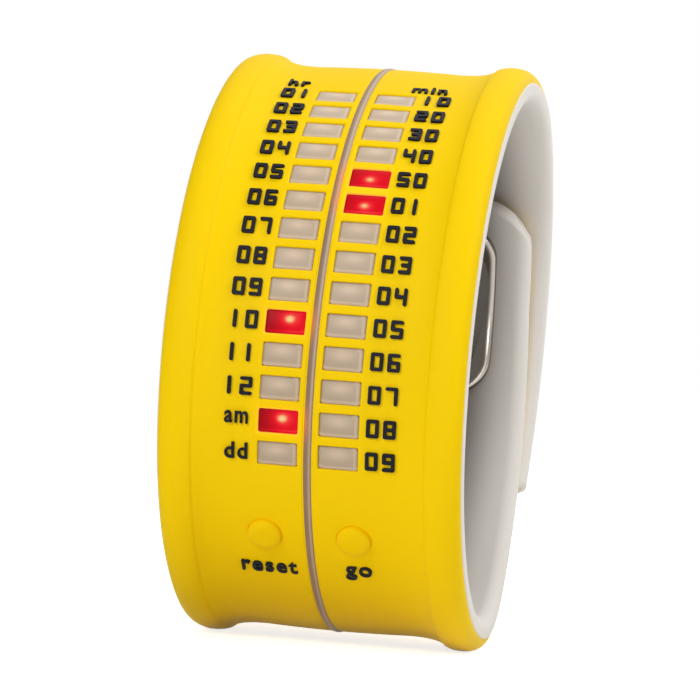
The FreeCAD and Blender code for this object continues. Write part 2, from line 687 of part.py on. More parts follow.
def negative_contact(station):
    size = (2 * CONTACT_HALF_WIDTH, CONTACT_LENGTH)
    plate = slab(0, station, size, CONTACT_THICK, CELL_FRONT, BAY_FLOOR)
    return plate.fuse(peg(0, station, PIN_RADIUS, CELL_FRONT, BOARD_BACK)).cut(led_board())


def positive_contact():
    low = CARRIER_BACK - CONTACT_THICK
    start = COVER_MIDDLE - LINK_HALF_LENGTH
    link = strip(CONTACT_HALF_WIDTH, low, CARRIER_BACK, start, COVER_MIDDLE + LINK_HALF_LENGTH)
    return link.fuse(peg(0, COVER_MIDDLE, PIN_RADIUS, low, BOARD_BACK)).cut(led_board())


def bay_reach():
    """Straight distance, along the cover's middle tangent, to the far edges of the cell bays."""
    turn = CELL_SPREAD / FLAT_RADIUS
    return (FLAT_RADIUS + CARRIER_BACK) * math.sin(turn) + (CELL_RADIUS + CELL_GAP) * math.cos(turn)


def bent_plate(half_x, half_y, corner, low, high):
    """A plate bent to the band between two heights, cut square through to a rounded outline."""
    sides = slab(0, COVER_MIDDLE, (2 * half_x, 2 * half_y), corner, low - FLAT_RADIUS / 2, 0)
    start = COVER_MIDDLE - half_y * BENT_EXCESS
    end = COVER_MIDDLE + half_y * BENT_EXCESS
    return sides.common(strip(half_x + CLEAR, low, high, start, end))


def gasket_reach():
    return bay_reach() + GASKET_INSET + GASKET_WIDTH


def cover_shape(gap, low, high):
    return bent_plate(COVER_HALF_WIDTH + gap, gasket_reach() + COVER_LIP + gap, COVER_CORNER, low, high)


def battery_cover():
    tools = []
    for x, station in screw_places():
        seat = COVER_BACK + SCREW_HEAD_THICK
        tools.append(peg(x, station, SCREW_HEAD_RADIUS + SHANK_GAP, COVER_BACK - CLEAR, seat))
        tools.append(peg(x, station, SCREW_RADIUS + SHANK_GAP, COVER_BACK, COVER_FRONT + CLEAR))
    return cover_shape(0, COVER_BACK, COVER_FRONT).cut(tools)


def battery_gasket():
    """A ring that follows both cells, squeezed between the carrier and the cover."""
    inner = CELL_RADIUS + CELL_GAP + GASKET_INSET
    outer = inner + GASKET_WIDTH
    hole = bent_plate(inner, gasket_reach() - GASKET_WIDTH, inner * 0.98, COVER_FRONT - CLEAR, 0)
    return bent_plate(outer, gasket_reach(), outer * 0.98, COVER_FRONT, CARRIER_BACK).cut(hole)


def cover_screw(x, station):
    seat = COVER_BACK + SCREW_HEAD_THICK
    recess = COVER_BACK + SCREW_HEAD_THICK / 2
    return turned(x, station, [
        (SCREW_RECESS_RADIUS, COVER_BACK),
        (SCREW_HEAD_RADIUS, COVER_BACK),
        (SCREW_HEAD_RADIUS, seat),
        (SCREW_RADIUS, seat),
        (SCREW_RADIUS, seat + SCREW_LENGTH),
        (0, seat + SCREW_LENGTH),
        (0, recess),
        (SCREW_RECESS_RADIUS, recess),
    ])


def cover_insert(x, station):
    top = CARRIER_BACK + INSERT_LENGTH
    bore = SCREW_RADIUS + THREAD_GAP
    return turned(x, station, [
        (bore, CARRIER_BACK),
        (INSERT_RADIUS, CARRIER_BACK),
        (INSERT_RADIUS, top),
        (bore, top),
    ])


# ---- Straps ----
def slots():
    """Oblong holes; each is longer towards the strap's tip than the stud it takes."""
    radius = STUD_RADIUS + SLOT_GAP
    tools = []
    for row in range(SLOT_ROWS):
        station = SLOT_FIRST + STUD_PITCH * row + SLOT_SLIDE / 2
        for x in (-STUD_X, STUD_X):
            size = (2 * radius, 2 * radius + SLOT_SLIDE)
            tools.append(slab(x, station, size, radius * 0.999, LINER_BACK - CLEAR, CREST_HEIGHT + CLEAR))
    return tools


def upper_tools():
    end = UPPER_TIP
    half = UPPER_TIP_HALF_WIDTH
    tools = upper_narrowing() + slots()
    tools += corner_cuts(end, 1, half, UPPER_CORNER, LINER_BACK - CLEAR, CREST_HEIGHT + CLEAR)
    heights = (CREST_HEIGHT, CREST_HEIGHT - TIP_DROP / 3, CREST_HEIGHT - TIP_DROP)
    tools.append(ramp(end - TIP_RAMP, end + CLEAR, heights, RAMP_REACH))
    return tools


def upper_strap_skin():
    return swept(skin_section(), UPPER_HINGE, UPPER_TIP).cut(upper_tools())


def upper_strap_liner():
    return swept(liner_section(), UPPER_HINGE, UPPER_TIP).cut(upper_tools())


def stud_places():
    return [(x, under(STUD_FIRST + STUD_PITCH * row)) for row in range(STUD_ROWS) for x in (-STUD_X, STUD_X)]


def lower_tools():
    tools = lower_narrowing()
    tools += corner_cuts(LOWER_TIP, -1, TONGUE_HALF_WIDTH, TONGUE_CORNER, LINER_BACK - CLEAR, CLEAR)
    for x, station in stud_places():
        seat = FACE_HEIGHT - STUD_COLLAR_THICK
        tools.append(peg(x, station, STUD_COLLAR_RADIUS, seat, CLEAR))
        tools.append(peg(x, station, STUD_SHANK_RADIUS, LINER_BACK - CLEAR, 0))
    return tools


def lower_strap_skin():
    return strip(HALF_WIDTH, SKIN_BACK, FACE_HEIGHT, LOWER_TIP, LOWER_HINGE).cut(lower_tools())


def lower_strap_liner():
    return strip(HALF_WIDTH, LINER_BACK, SKIN_BACK, LOWER_TIP, LOWER_HINGE).cut(lower_tools())


def clasp_plate():
    start = under(PLATE_UNDER - PLATE_HALF_LENGTH)
    end = under(PLATE_UNDER + PLATE_HALF_LENGTH)
    low = LINER_BACK - PLATE_THICK
    body = strip(PLATE_HALF_WIDTH, low, LINER_BACK, start, end)
    tools = corner_cuts(start, -1, PLATE_HALF_WIDTH, PLATE_CORNER, low - CLEAR, 0)
    return body.cut(tools + corner_cuts(end, 1, PLATE_HALF_WIDTH, PLATE_CORNER, low - CLEAR, 0))


def clasp_stud(x, station):
    top = FACE_HEIGHT + STUD_RISE
    seat = FACE_HEIGHT - STUD_COLLAR_THICK
    return turned(x, station, [
        (0, LINER_BACK),
        (STUD_SHANK_RADIUS, LINER_BACK),
        (STUD_SHANK_RADIUS, seat),
        (STUD_COLLAR_RADIUS, seat),
        (STUD_COLLAR_RADIUS, FACE_HEIGHT),
        (STUD_RADIUS, FACE_HEIGHT),
        (STUD_RADIUS, top - STUD_TAPER),
        (STUD_TIP_RADIUS, top),
        (0, top),
    ])


# ---- Writing the pieces ----
def save(name, solids):
    whole = solids if isinstance(solids, list) else [solids]
    found = [solid for shape in whole for solid in shape.Solids]
    shape = found[0] if len(found) == 1 else Part.makeCompound(found)
    shape.rotate(FreeCAD.Vector(0, 0, 0), FreeCAD.Vector(1, 0, 0), -LEAN)
    shape.exportStep("parts/" + name + ".step")


os.makedirs("parts", exist_ok=True)
save("case_skin", case_skin())
save("case_liner", case_liner())
save("light_guide", light_guide())
save("led_board", led_board())
save("leds_hours", leds(-COLUMN_X))
save("leds_minutes", leds(COLUMN_X))
save("controller_chip", chips())
save("timing_crystal", crystals())
save("capacitors", capacitors())
save("led_resistors", resistors())
save("reset_switch", switch(-BUTTON_X))
save("go_switch", switch(BUTTON_X))
save("reset_plunger", plunger(-BUTTON_X))
save("go_plunger", plunger(BUTTON_X))
save("reset_button", button(-BUTTON_X))
save("go_button", button(BUTTON_X))
save("board_carrier", board_carrier())
for label, at_station in zip(("upper", "lower"), cell_stations()):
    save(label + "_cell", coin_cell(at_station))
save("negative_contacts", [negative_contact(station) for station in cell_stations()])
save("positive_contact", positive_contact())
save("battery_gasket", battery_gasket())
save("battery_cover", battery_cover())
save("cover_screws", [cover_screw(x, station) for x, station in screw_places()])
save("cover_inserts", [cover_insert(x, station) for x, station in screw_places()])
save("upper_strap_skin", upper_strap_skin())
save("upper_strap_liner", upper_strap_liner())
save("lower_strap_skin", lower_strap_skin())
save("lower_strap_liner", lower_strap_liner())
save("clasp_plate", clasp_plate())
save("clasp_studs", [clasp_stud(x, station) for x, station in stud_places()])
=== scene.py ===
import math

import bmesh
import bpy
import numpy as np
from bpy.props import FloatProperty, FloatVectorProperty, PointerProperty
from bpy.types import Operator, Panel, PropertyGroup
from mathutils import Matrix, Vector
from mathutils.geometry import delaunay_2d_cdt


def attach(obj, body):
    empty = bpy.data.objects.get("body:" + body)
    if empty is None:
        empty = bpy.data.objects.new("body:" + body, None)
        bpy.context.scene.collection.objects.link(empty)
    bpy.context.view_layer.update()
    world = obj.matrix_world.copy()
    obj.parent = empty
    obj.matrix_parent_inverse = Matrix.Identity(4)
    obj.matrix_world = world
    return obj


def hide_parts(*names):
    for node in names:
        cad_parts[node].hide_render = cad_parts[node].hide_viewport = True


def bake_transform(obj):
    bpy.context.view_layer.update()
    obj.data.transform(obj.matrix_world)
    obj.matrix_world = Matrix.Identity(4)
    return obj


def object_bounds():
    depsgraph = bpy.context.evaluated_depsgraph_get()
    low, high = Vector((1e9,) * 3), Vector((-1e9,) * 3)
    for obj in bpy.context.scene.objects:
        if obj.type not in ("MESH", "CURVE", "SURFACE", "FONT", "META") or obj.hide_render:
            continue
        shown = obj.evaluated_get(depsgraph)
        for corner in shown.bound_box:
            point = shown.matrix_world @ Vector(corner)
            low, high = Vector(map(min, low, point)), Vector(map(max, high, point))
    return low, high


bl_info = {
    "name": "LED ladder watch",
    "version": (1, 0, 0),
    "blender": (4, 5, 0),
    "location": "3D View > Sidebar > Watch",
    "description": "Dresses the packed frame of a silicone-banded LED ladder watch",
    "category": "Object",
}

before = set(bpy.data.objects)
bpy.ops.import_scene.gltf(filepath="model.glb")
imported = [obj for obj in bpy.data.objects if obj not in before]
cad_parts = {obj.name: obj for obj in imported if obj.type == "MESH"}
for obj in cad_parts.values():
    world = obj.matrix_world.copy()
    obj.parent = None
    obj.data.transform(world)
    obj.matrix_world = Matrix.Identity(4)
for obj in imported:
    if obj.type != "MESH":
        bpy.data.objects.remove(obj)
CAD_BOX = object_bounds()

MM = 0.001

# ---- The band's line, in millimetres and degrees ----
OVAL_LONG = 63.8
OVAL_SHORT = 56.8
OVAL_END_RADIUS = 26.3
LEAN = 30.0
HALF_WIDTH = 16.2
UPPER_HALF_WIDTH = 15.15
TONGUE_HALF_WIDTH = 13.7
TONGUE_TAPER = (-29, 18)  # heights on the upright oval between which the lower strap narrows
UPPER_HINGE = 44.5
UPPER_TIP = 97.5
LOWER_HINGE = -78.0
LOWER_TIP_UNDER = 57.3
DIVE_START = 58.0
FRONT_LOW = -62.0  # the front pieces end here
FRONT_HIGH = 30.0
DIVE_CLEARANCE = 1.0
STRAP_DROP = 3.1

END_RISE = OVAL_LONG / 2 - OVAL_END_RADIUS
FLAT_RADIUS = (END_RISE**2 + (OVAL_SHORT / 2) ** 2 - OVAL_END_RADIUS**2) / (OVAL_SHORT - 2 * OVAL_END_RADIUS)
FLAT_SHIFT = FLAT_RADIUS - OVAL_SHORT / 2
JOIN_ANGLE = math.degrees(math.atan2(END_RISE, FLAT_SHIFT))

# ---- Heights over the crest of the bead ----
SHOULDER = -0.12  # face beside the bead
VALLEY = -0.3  # lowest line of the face
VALLEY_X = 8.0
PLAIN_HEIGHT = -0.2  # the face where there are no rims
GROOVE_DEPTH = 0.06  # under the bead
RIM_FOOT = (11.3, 0.0)
STEP_FOOT = (12.2, 0.37)
CREASE = (12.42, 0.62)
SKIN_EDGE = (16.05, -0.65)
SKIN_BACK = -1.3
LINER_BACK = -3.1
LINER_FLAT = 13.8
TUCK_X = 15.0
EDGE_FROM = 9.0  # the band narrows by its outer part, from here out
EDGE_REACH = 4.8

# ---- Display ----
ROWS = 14
ROW_PITCH = 3.46
LADDER_MIDDLE = -4.2
COLUMN_X = 3.2
WINDOW = (4.2, 2.5)
WINDOW_CORNER = 0.16
PAD_TOP = -0.28
PAD_CORNER = 0.32
LIT = {(0, 9), (0, 12), (1, 4), (1, 5)}
BEAD_SPAN = (-68.0, 38.0)
BEAD_HALF_WIDTH = 0.52
BUTTON_STATION = -36.2
BUTTON_X = 4.75
BUTTON_RADIUS = 1.8
LABEL_X = 7.65

# ---- Clasp and battery cover ----
PLATE_UNDER = 73.4
PLATE_HALF_LENGTH = 12.9
PLATE_HALF_WIDTH = 10.0
PLATE_CORNER = 5.0
COVER_MIDDLE = (0, -0.5)
COVER_HALF = (10.12, 23.95)
COVER_CORNER = 2.3
SLOT_START = 57.1
SLOT_PITCH = 7
SLOT_ROWS = 6
SLOT_X = 5
SLOT_HALF = (1.7, 2.3)
SLOT_CORNER = 1.69

# ---- Camera ----
CAMERA_TURN = 11.496
CAMERA_ROLL = 4.266
CAMERA_AIM = (-0.002044, 0, -0.000282)
SENSOR_WIDTH = 36
PIXELS_PER_MM = 9.057  # at the aim, in a picture PICTURE_WIDTH pixels wide
PICTURE_WIDTH = 700

ROW_STATIONS = [LADDER_MIDDLE + ROW_PITCH * ((ROWS - 1) / 2 - row) for row in range(ROWS)]


# ---- Following the band ----
def heading(angle):
    turn = math.radians(angle)
    return np.array([math.sin(turn), math.cos(turn)])


def outward(angle):
    turn = math.radians(angle)
    return np.array([-math.cos(turn), math.sin(turn)])


def stretch(arcs, start, end):
    """The part of a chain of (y, z, radius, angle, sweep) arcs between two distances along it."""
    found = []
    done = 0.0
    for y, z, radius, angle, sweep in arcs:
        span = radius * math.radians(sweep)
        low = max(start - done, 0.0)
        high = min(end - done, span)
        if high - low > 1e-6:
            turn = math.degrees(1 / radius)
            found.append((y, z, radius, angle + low * turn, (high - low) * turn))
        done += span
    return found


def distance_to(arcs, angle):
    return sum(radius * math.radians(min(max(angle - first, 0.0), sweep)) for _, _, radius, first, sweep in arcs)


END_SWEEP = 180 - 2 * JOIN_ANGLE
UP = [
    (FLAT_SHIFT, 0.0, FLAT_RADIUS, 0.0, JOIN_ANGLE),
    (0.0, END_RISE, OVAL_END_RADIUS, JOIN_ANGLE, END_SWEEP),
    (-FLAT_SHIFT, 0.0, FLAT_RADIUS, 180 - JOIN_ANGLE, 2 * JOIN_ANGLE),
    (0.0, -END_RISE, OVAL_END_RADIUS, 180 + JOIN_ANGLE, END_SWEEP),
]


def arc_from(start, angle, end_angle, tangent):
    sweep = end_angle - angle
    radius = tangent / math.tan(math.radians(sweep / 2))
    centre = start - radius * outward(angle)
    return (centre[0], centre[1], radius, angle, sweep)


def lower_arcs():
    """The lower strap's line, drawn upwards: it leaves the oval and dives inside it."""
    tip_angle = stretch(UP, UPPER_TIP, UPPER_TIP + 1)[0][3]
    dive_end = distance_to(UP, 360 - tip_angle) - DIVE_CLEARANCE
    y, z, radius, end_angle, _ = stretch(UP, dive_end, dive_end + 1)[0]
    y0, z0, radius0, start_angle, _ = stretch(UP, DIVE_START, DIVE_START + 1)[0]
    first = np.array([y0, z0]) + radius0 * outward(start_angle)
    last = np.array([y, z]) + (radius - STRAP_DROP) * outward(end_angle)
    leave, arrive = heading(start_angle), heading(end_angle)
    gap = last - first
    a = 2 * (1 - leave @ arrive)
    b = 2 * gap @ (leave + arrive)
    tangent = (math.sqrt(b * b + 4 * a * gap @ gap) - b) / (2 * a)
    chord = (last - arrive * tangent) - (first + leave * tangent)
    middle = first + leave * tangent + chord / 2
    middle_angle = math.degrees(math.atan2(chord[0], chord[1]))
    dive = [arc_from(first, start_angle, middle_angle, tangent), arc_from(middle, middle_angle, end_angle, tangent)]
    inner = [(cy, cz, r - STRAP_DROP, angle, sweep) for cy, cz, r, angle, sweep in stretch(UP, dive_end, 180)]
    return stretch(UP, 0, DIVE_START) + dive + inner


DOWN = lower_arcs()


def along(stations):
    """Arc centre (y, z), radius and outward angle in radians at each station."""
    stations = np.asarray(stations, float)
    found = np.zeros((4,) + stations.shape)
    for arcs, sign in ((UP, 1), (DOWN, -1)):
        distance = np.abs(stations)
        mine = stations >= 0 if sign > 0 else stations < 0
        done = 0.0
        for y, z, radius, angle, sweep in arcs:
            span = radius * math.radians(sweep)
            here = mine & (distance >= done - 1e-9)
            turn = math.radians(angle) + (distance - done) / radius
            for row, value in enumerate((y, sign * z, radius, sign * turn)):
                found[row] = np.where(here, value, found[row])
            done += span
    return found


def wrap(x, station, height):
    """Points of the row frame, in metres, from places on the band in millimetres."""
    x, station, height = np.broadcast_arrays(*(np.asarray(v, float) for v in (x, station, height)))
    y0, z0, radius, angle = along(station)
    y = y0 - (radius + height) * np.cos(angle)
    z = z0 + (radius + height) * np.sin(angle)
    lean = math.radians(LEAN)
    return MM * np.stack([x, y * math.cos(lean) + z * math.sin(lean), z * math.cos(lean) - y * math.sin(lean)], -1)


def spot(x, station, height=0.0):
    return Vector(wrap(x, station, height).tolist())


def under(station):
    """Station of the lower strap beneath a station of the upper strap."""
    angle = math.degrees(along(np.array([station]))[3][0])
    return -distance_to(DOWN, 360 - angle)


LOWER_TIP = under(LOWER_TIP_UNDER)
HINGE = along(np.array([UPPER_HINGE]))
HINGE_Y = float(HINGE[0][0] - HINGE[2][0] * math.cos(HINGE[3][0]))
STRAP_ENDS = ((UPPER_TIP, 1, UPPER_HALF_WIDTH, 2.0), (LOWER_TIP, -1, TONGUE_HALF_WIDTH, 7.0))


# ---- Sections ----
def smooth(value, low, high):
    t = np.clip((np.asarray(value, float) - low) / (high - low), 0, 1)
    return t * t * (3 - 2 * t)


def bell(value, width):
    """1 where the value is 0, falling off over the width."""
    return np.exp(-((value / width) ** 2))


def bezier(controls, steps):
    """Points along a cubic curve, without its first."""
    p = np.array(controls, float)
    t = np.linspace(0, 1, steps + 1)[1:, None]
    return (1 - t) ** 3 * p[0] + 3 * t * (1 - t) ** 2 * p[1] + 3 * t**2 * (1 - t) * p[2] + t**3 * p[3]


def rounded_profile(corners, steps=5):
    """(x, height, rounding) corners turned into a profile with rounded corners."""
    points = [np.array(c[:2], float) for c in corners]
    profile = [tuple(points[0])]
    for before, here, after, (_, _, rounding) in zip(points, points[1:], points[2:], corners[1:-1]):
        if rounding <= 0:
            profile.append(tuple(here))
            continue
        a = (before - here) / np.linalg.norm(before - here)
        b = (after - here) / np.linalg.norm(after - here)
        start, end = here + a * rounding, here + b * rounding
        for step in range(steps + 1):
            t = step / steps
            profile.append(tuple((1 - t) ** 2 * start + 2 * t * (1 - t) * here + t * t * end))
    profile.append(tuple(points[-1]))
    return profile


def valley(x):
    """Height of the face between the bead and the foot of the rims."""
    return SHOULDER + (VALLEY - SHOULDER) * np.minimum(np.abs(x) / VALLEY_X, 1) ** 2


def rimmed_tail():
    """From the lowest line of the face up the rim's slope, over its soft edge and round top to the skin's edge."""
    top = bezier([CREASE, (13.0, 0.92), (15.9, 1.2), SKIN_EDGE], 26)
    after = (*top[1], 0)
    foot = rounded_profile([(VALLEY_X, VALLEY, 0), (9.9, -0.25, 0.8), (*RIM_FOOT, 0.6), (*STEP_FOOT, 0.04),
                            (*CREASE, 0.05), after])
    return np.concatenate([foot[:-1], top[1:]])


def quarter_turn(end_x, round_x, height_at):
    """Points round a soft edge that ends at end_x; height_at gives their heights from the turn."""
    turn = np.linspace(0, math.pi / 2, 24)
    return np.stack([end_x - round_x + round_x * np.sin(turn), height_at(np.cos(turn))], -1)


def plain_tail():
    """The same without a rim: level, then rounded off to the skin's edge."""
    edge_x, low = SKIN_EDGE
    edge = quarter_turn(edge_x, 0.8, lambda fall: low + (PLAIN_HEIGHT - low) * fall)
    return np.concatenate([[[VALLEY_X, PLAIN_HEIGHT]], edge])


def liner_tail():
    """From the inner face out, round the edge and up the side to the skin's edge."""
    edge = quarter_turn(HALF_WIDTH, 1.6, lambda fall: LINER_BACK + 1.5 * (1 - fall))
    side = [[HALF_WIDTH, SKIN_EDGE[1] - 0.25], [HALF_WIDTH - 0.04, SKIN_EDGE[1] - 0.08], list(SKIN_EDGE)]
    return np.concatenate([[[LINER_FLAT, LINER_BACK]], edge, side])


def length_of(tail):
    return float(np.hypot(*np.diff(tail, axis=0).T).sum())


def on_tail(tail, share):
    """Points at shares of the tail's length."""
    steps = np.concatenate([[0], np.cumsum(np.hypot(*np.diff(tail, axis=0).T))])
    return np.interp(share, steps / steps[-1], tail[:, 0]), np.interp(share, steps / steps[-1], tail[:, 1])


def half_width(station):
    """Half the band's width: it narrows over the back, more on the lower strap than on the upper."""
    y0, z0, radius, angle = along(station)
    y = y0 - radius * np.cos(angle)
    z = z0 + radius * np.sin(angle)

    def narrowed(value, low, high, half):
        return HALF_WIDTH - (HALF_WIDTH - half) * np.clip((value - low) / (high - low), 0, 1)

    upper = narrowed(y, HINGE_Y, OVAL_SHORT / 2, UPPER_HALF_WIDTH)
    lower = narrowed(z, *TONGUE_TAPER, TONGUE_HALF_WIDTH)
    return np.where(station > UPPER_HINGE, upper, np.where((station < 0) & (y > 0), lower, HALF_WIDTH))


def fitted(x, station):
    """Places on the band's full width drawn in to its width there, and to the round corners at its ends."""
    x, station = np.broadcast_arrays(np.asarray(x, float), np.asarray(station, float))
    share = np.clip((np.abs(x) - EDGE_FROM) / EDGE_REACH, 0, 1)
    x = x - np.sign(x) * (HALF_WIDTH - half_width(station)) * share
    for tip, side, half, corner in STRAP_ENDS:
        near = np.clip(1 - (tip - station) * side / (2.6 * corner), 0, 1)
        edge = np.clip((np.abs(x) - half + corner) / corner, 0, 1)
        station = station - side * corner * near**2 * (1 - np.sqrt(1 - edge**2))
    return x, station


def end_drop(station, radius=0.8):
    """How far a surface falls as it rounds over at the ends of the straps."""
    drop = 0.0
    for tip, side, _, _ in STRAP_ENDS:
        near = np.clip(radius - (tip - station) * side, 0, radius)
        drop = drop + radius - np.sqrt(radius**2 - near**2)
    return drop


# ---- The seen and hidden faces of the two layers ----
RIM_TAIL = rimmed_tail()
PLAIN_TAIL = plain_tail()
SKIN_REACH = VALLEY_X + length_of(RIM_TAIL)
LINER_TAIL = liner_tail()
LINER_REACH = LINER_FLAT + length_of(LINER_TAIL)
RISES = [-50.5, -46.0, -29.9, -25.4, 24.4, 28.9]
BULGES = [0.0, 2.0, 2.0, 3.9, 3.9, 0.0]


def rims_here(station):
    """1 where the rims stand at their full height."""
    fading = 1 - 0.86 * smooth(station, UPPER_TIP - 8, UPPER_TIP)
    return smooth(station, LOWER_HINGE, LOWER_HINGE + 14) * fading


def bead_here(station):
    low, high = BEAD_SPAN
    return smooth(station, low - 0.1, low + 0.15) * (1 - smooth(station, high - 0.15, high + 0.1))


def drawn_in(x, station):
    """Near the ends of the straps the skin stops short of the liner's edge."""
    upper = smooth(station, UPPER_TIP - 9, UPPER_TIP - 2)
    lower = smooth(LOWER_TIP + 12 - station, 0, 9)
    x = x * (1 - 0.017 * upper - 0.034 * lower)
    return x, station - 0.25 * smooth(station, UPPER_TIP - 6, UPPER_TIP) + 0.7 * smooth(LOWER_TIP + 8 - station, 0, 7)


def beyond(size, flat, reach):
    """How far along the tail places lie that are more than flat away from the middle."""
    return np.clip((size - flat) / (reach - flat), 0, 1)


def tucked(across, station, flat, reach):
    """The face where skin and liner meet."""
    size = np.abs(across)
    x = np.minimum(size, flat) + (TUCK_X - flat) * beyond(size, flat, reach)
    x, station = fitted(np.sign(across) * x, station)
    return x, station, np.full(np.shape(x), SKIN_BACK)


def skin_seen(u, station):
    size = np.abs(u)
    share = beyond(size, VALLEY_X, SKIN_REACH)
    rimmed_x, rimmed = on_tail(RIM_TAIL, share)
    plain_x, plain = on_tail(PLAIN_TAIL, share)
    rims = rims_here(station)
    middle = size <= VALLEY_X
    x = np.where(middle, size, rims * rimmed_x + (1 - rims) * plain_x)
    height = rims * np.where(middle, valley(size), rimmed) + (1 - rims) * np.where(middle, PLAIN_HEIGHT, plain)
    groove = 1 - smooth(size, 0.55, 0.62)
    height = height - GROOVE_DEPTH * groove * bead_here(station) - end_drop(station)
    x, station = fitted(np.sign(u) * x, station)
    return *drawn_in(x, station), height


def skin_hidden(u, station):
    x, station, height = tucked(u, station, VALLEY_X, SKIN_REACH)
    return *drawn_in(x, station), height


def bulge_depth(x, station):
    """How far the liner stands in over the module."""
    depth = np.zeros(np.shape(station))
    for start, end, low, high in zip(RISES, RISES[1:], BULGES, BULGES[1:]):
        here = (station >= start) & (station <= end)
        depth = np.where(here, low + (high - low) * smooth(station, start, end), depth)
    return depth * (1 - smooth(np.abs(x), 11.9, 13.0))


def liner_seen(v, station):
    size = np.abs(v)
    tail_x, tail = on_tail(LINER_TAIL, beyond(size, LINER_FLAT, LINER_REACH))
    flat = size <= LINER_FLAT
    drop = end_drop(station) * np.clip((SKIN_EDGE[1] - tail) / (SKIN_EDGE[1] - LINER_BACK), 0, 1)
    height = np.where(flat, LINER_BACK - bulge_depth(size, station) + end_drop(station), tail + drop)
    return *fitted(np.sign(v) * np.where(flat, size, tail_x), station), height


def liner_hidden(v, station):
    return tucked(v, station, LINER_FLAT, LINER_REACH)


SKIN_FACES = (skin_seen, skin_hidden)
LINER_FACES = (liner_seen, liner_hidden)


# ---- Meshes ----
def new_object(name, points, faces, material):
    mesh = bpy.data.meshes.new(name)
    mesh.from_pydata([tuple(p) for p in points], [], faces)
    mesh.validate()
    mesh.materials.append(material)
    piece = bpy.data.objects.new(name, mesh)
    bpy.context.scene.collection.objects.link(piece)
    return piece


def closed_piece(name, points, faces, material, smooth_angle=35):
    """A piece with coincident points joined, every face turned outwards and the sharp edges marked."""
    piece = new_object(name, points, faces, material)
    mesh = piece.data
    work = bmesh.new()
    work.from_mesh(mesh)
    bmesh.ops.remove_doubles(work, verts=work.verts, dist=2e-7)
    bmesh.ops.dissolve_degenerate(work, edges=work.edges, dist=1e-8)
    bmesh.ops.recalc_face_normals(work, faces=work.faces)
    if work.calc_volume(signed=True) < 0:
        bmesh.ops.reverse_faces(work, faces=work.faces)
    work.to_mesh(mesh)
    work.free()
    mesh.polygons.foreach_set("use_smooth", [True] * len(mesh.polygons))
    mesh.set_sharp_from_angle(angle=math.radians(smooth_angle))
    mesh.update()
    return piece


def banded(name, places, faces, material, smooth_angle=35):
    """A piece from (across, station, height) places on the band."""
    return closed_piece(name, wrap(*np.asarray(places, float).T), faces, material, smooth_angle)


def paint(piece, name, values):
    attribute = piece.data.attributes.new(name, "FLOAT", "POINT")
    attribute.data.foreach_set("value", np.asarray(values, np.float32))


def rounded_loop(centre, half, corner, steps=5, grow=0.0, per_side=6):
    """Points round a rectangle with rounded corners, grown outwards by grow."""

    def at(quarter, share):
        sx, sy = ((1, 1), (-1, 1), (-1, -1), (1, -1))[quarter % 4]
        turn = math.pi / 2 * (quarter + share)
        return np.array([
            centre[0] + sx * (half[0] - corner) + (corner + grow) * math.cos(turn),
            centre[1] + sy * (half[1] - corner) + (corner + grow) * math.sin(turn),
        ])

    points = []
    for quarter in range(4):
        points += [at(quarter, step / steps) for step in range(steps + 1)]
        start, end = points[-1], at(quarter + 1, 0)
        points += [start + (end - start) * (step / per_side) for step in range(1, per_side)]
    return np.array(points)


def inside_loop(points, loop):
    """Which points lie within a closed loop."""
    x, y = points[:, 0], points[:, 1]
    inside = np.zeros(len(points), bool)
    for (x1, y1), (x2, y2) in zip(loop, np.roll(loop, -1, 0)):
        crosses = (y1 > y) != (y2 > y)
        with np.errstate(divide="ignore", invalid="ignore"):
            inside ^= crosses & (x < (x2 - x1) * (y - y1) / (y2 - y1) + x1)
    return inside


def triangulated(across, stations, loops):
    """A triangle mesh of the rectangle spanned by two lists of lines, with loops cut out of it."""
    grid = np.array([(a, s) for s in stations for a in across])
    low, high = np.array([across[0], stations[0]]), np.array([across[-1], stations[-1]])
    on_edge = np.any((grid == low) | (grid == high), axis=1)
    keep = ~on_edge
    for loop in loops:
        centre = (loop.max(0) + loop.min(0)) / 2
        reach = (loop.max(0) - loop.min(0)) / 2
        keep &= ~np.all(np.abs(grid - centre) < reach + 0.22, axis=1)
    border = (
        [(a, low[1]) for a in across[:-1]]
        + [(high[0], s) for s in stations[:-1]]
        + [(a, high[1]) for a in across[:0:-1]]
        + [(low[0], s) for s in stations[:0:-1]]
    )
    parts = [np.array(border), *loops]
    spans, edges, first = [], [], 0
    for part in parts:
        count = len(part)
        spans.append(range(first, first + count))
        edges += [(first + i, first + (i + 1) % count) for i in range(count)]
        first += count
    points = np.concatenate([*parts, grid[keep]])
    verts, _, faces, orig, _, _ = delaunay_2d_cdt([Vector(p) for p in points.tolist()], edges, [], 0, 1e-6)
    flat = np.array([tuple(v) for v in verts])
    place = {source: index for index, sources in enumerate(orig) for source in sources}
    faces = np.array([f for f in faces if len(f) == 3])
    centres = flat[faces].mean(1)
    drop = np.zeros(len(faces), bool)
    for loop in loops:
        drop |= inside_loop(centres, loop)
    found = [[place[i] for i in span] for span in spans]
    return flat, faces[~drop], found[0], found[1:]


def walls(*loops):
    """Faces between loops of points that have the same length; a loop may also be a single point."""
    faces = []
    for a, b in zip(loops, loops[1:]):
        count = max(len(a), len(b))
        for k in range(count):
            n = (k + 1) % count
            ring = (a[k % len(a)], a[n % len(a)], b[n % len(b)], b[k % len(b)])
            faces.append(tuple(dict.fromkeys(ring)))
    return faces


def numbered(rings):
    """The points of some rings one after the other, and each ring's numbers among them."""
    starts = np.cumsum([0] + [len(ring) for ring in rings])
    return np.concatenate(rings), [list(range(a, b)) for a, b in zip(starts.tolist(), starts[1:].tolist())]


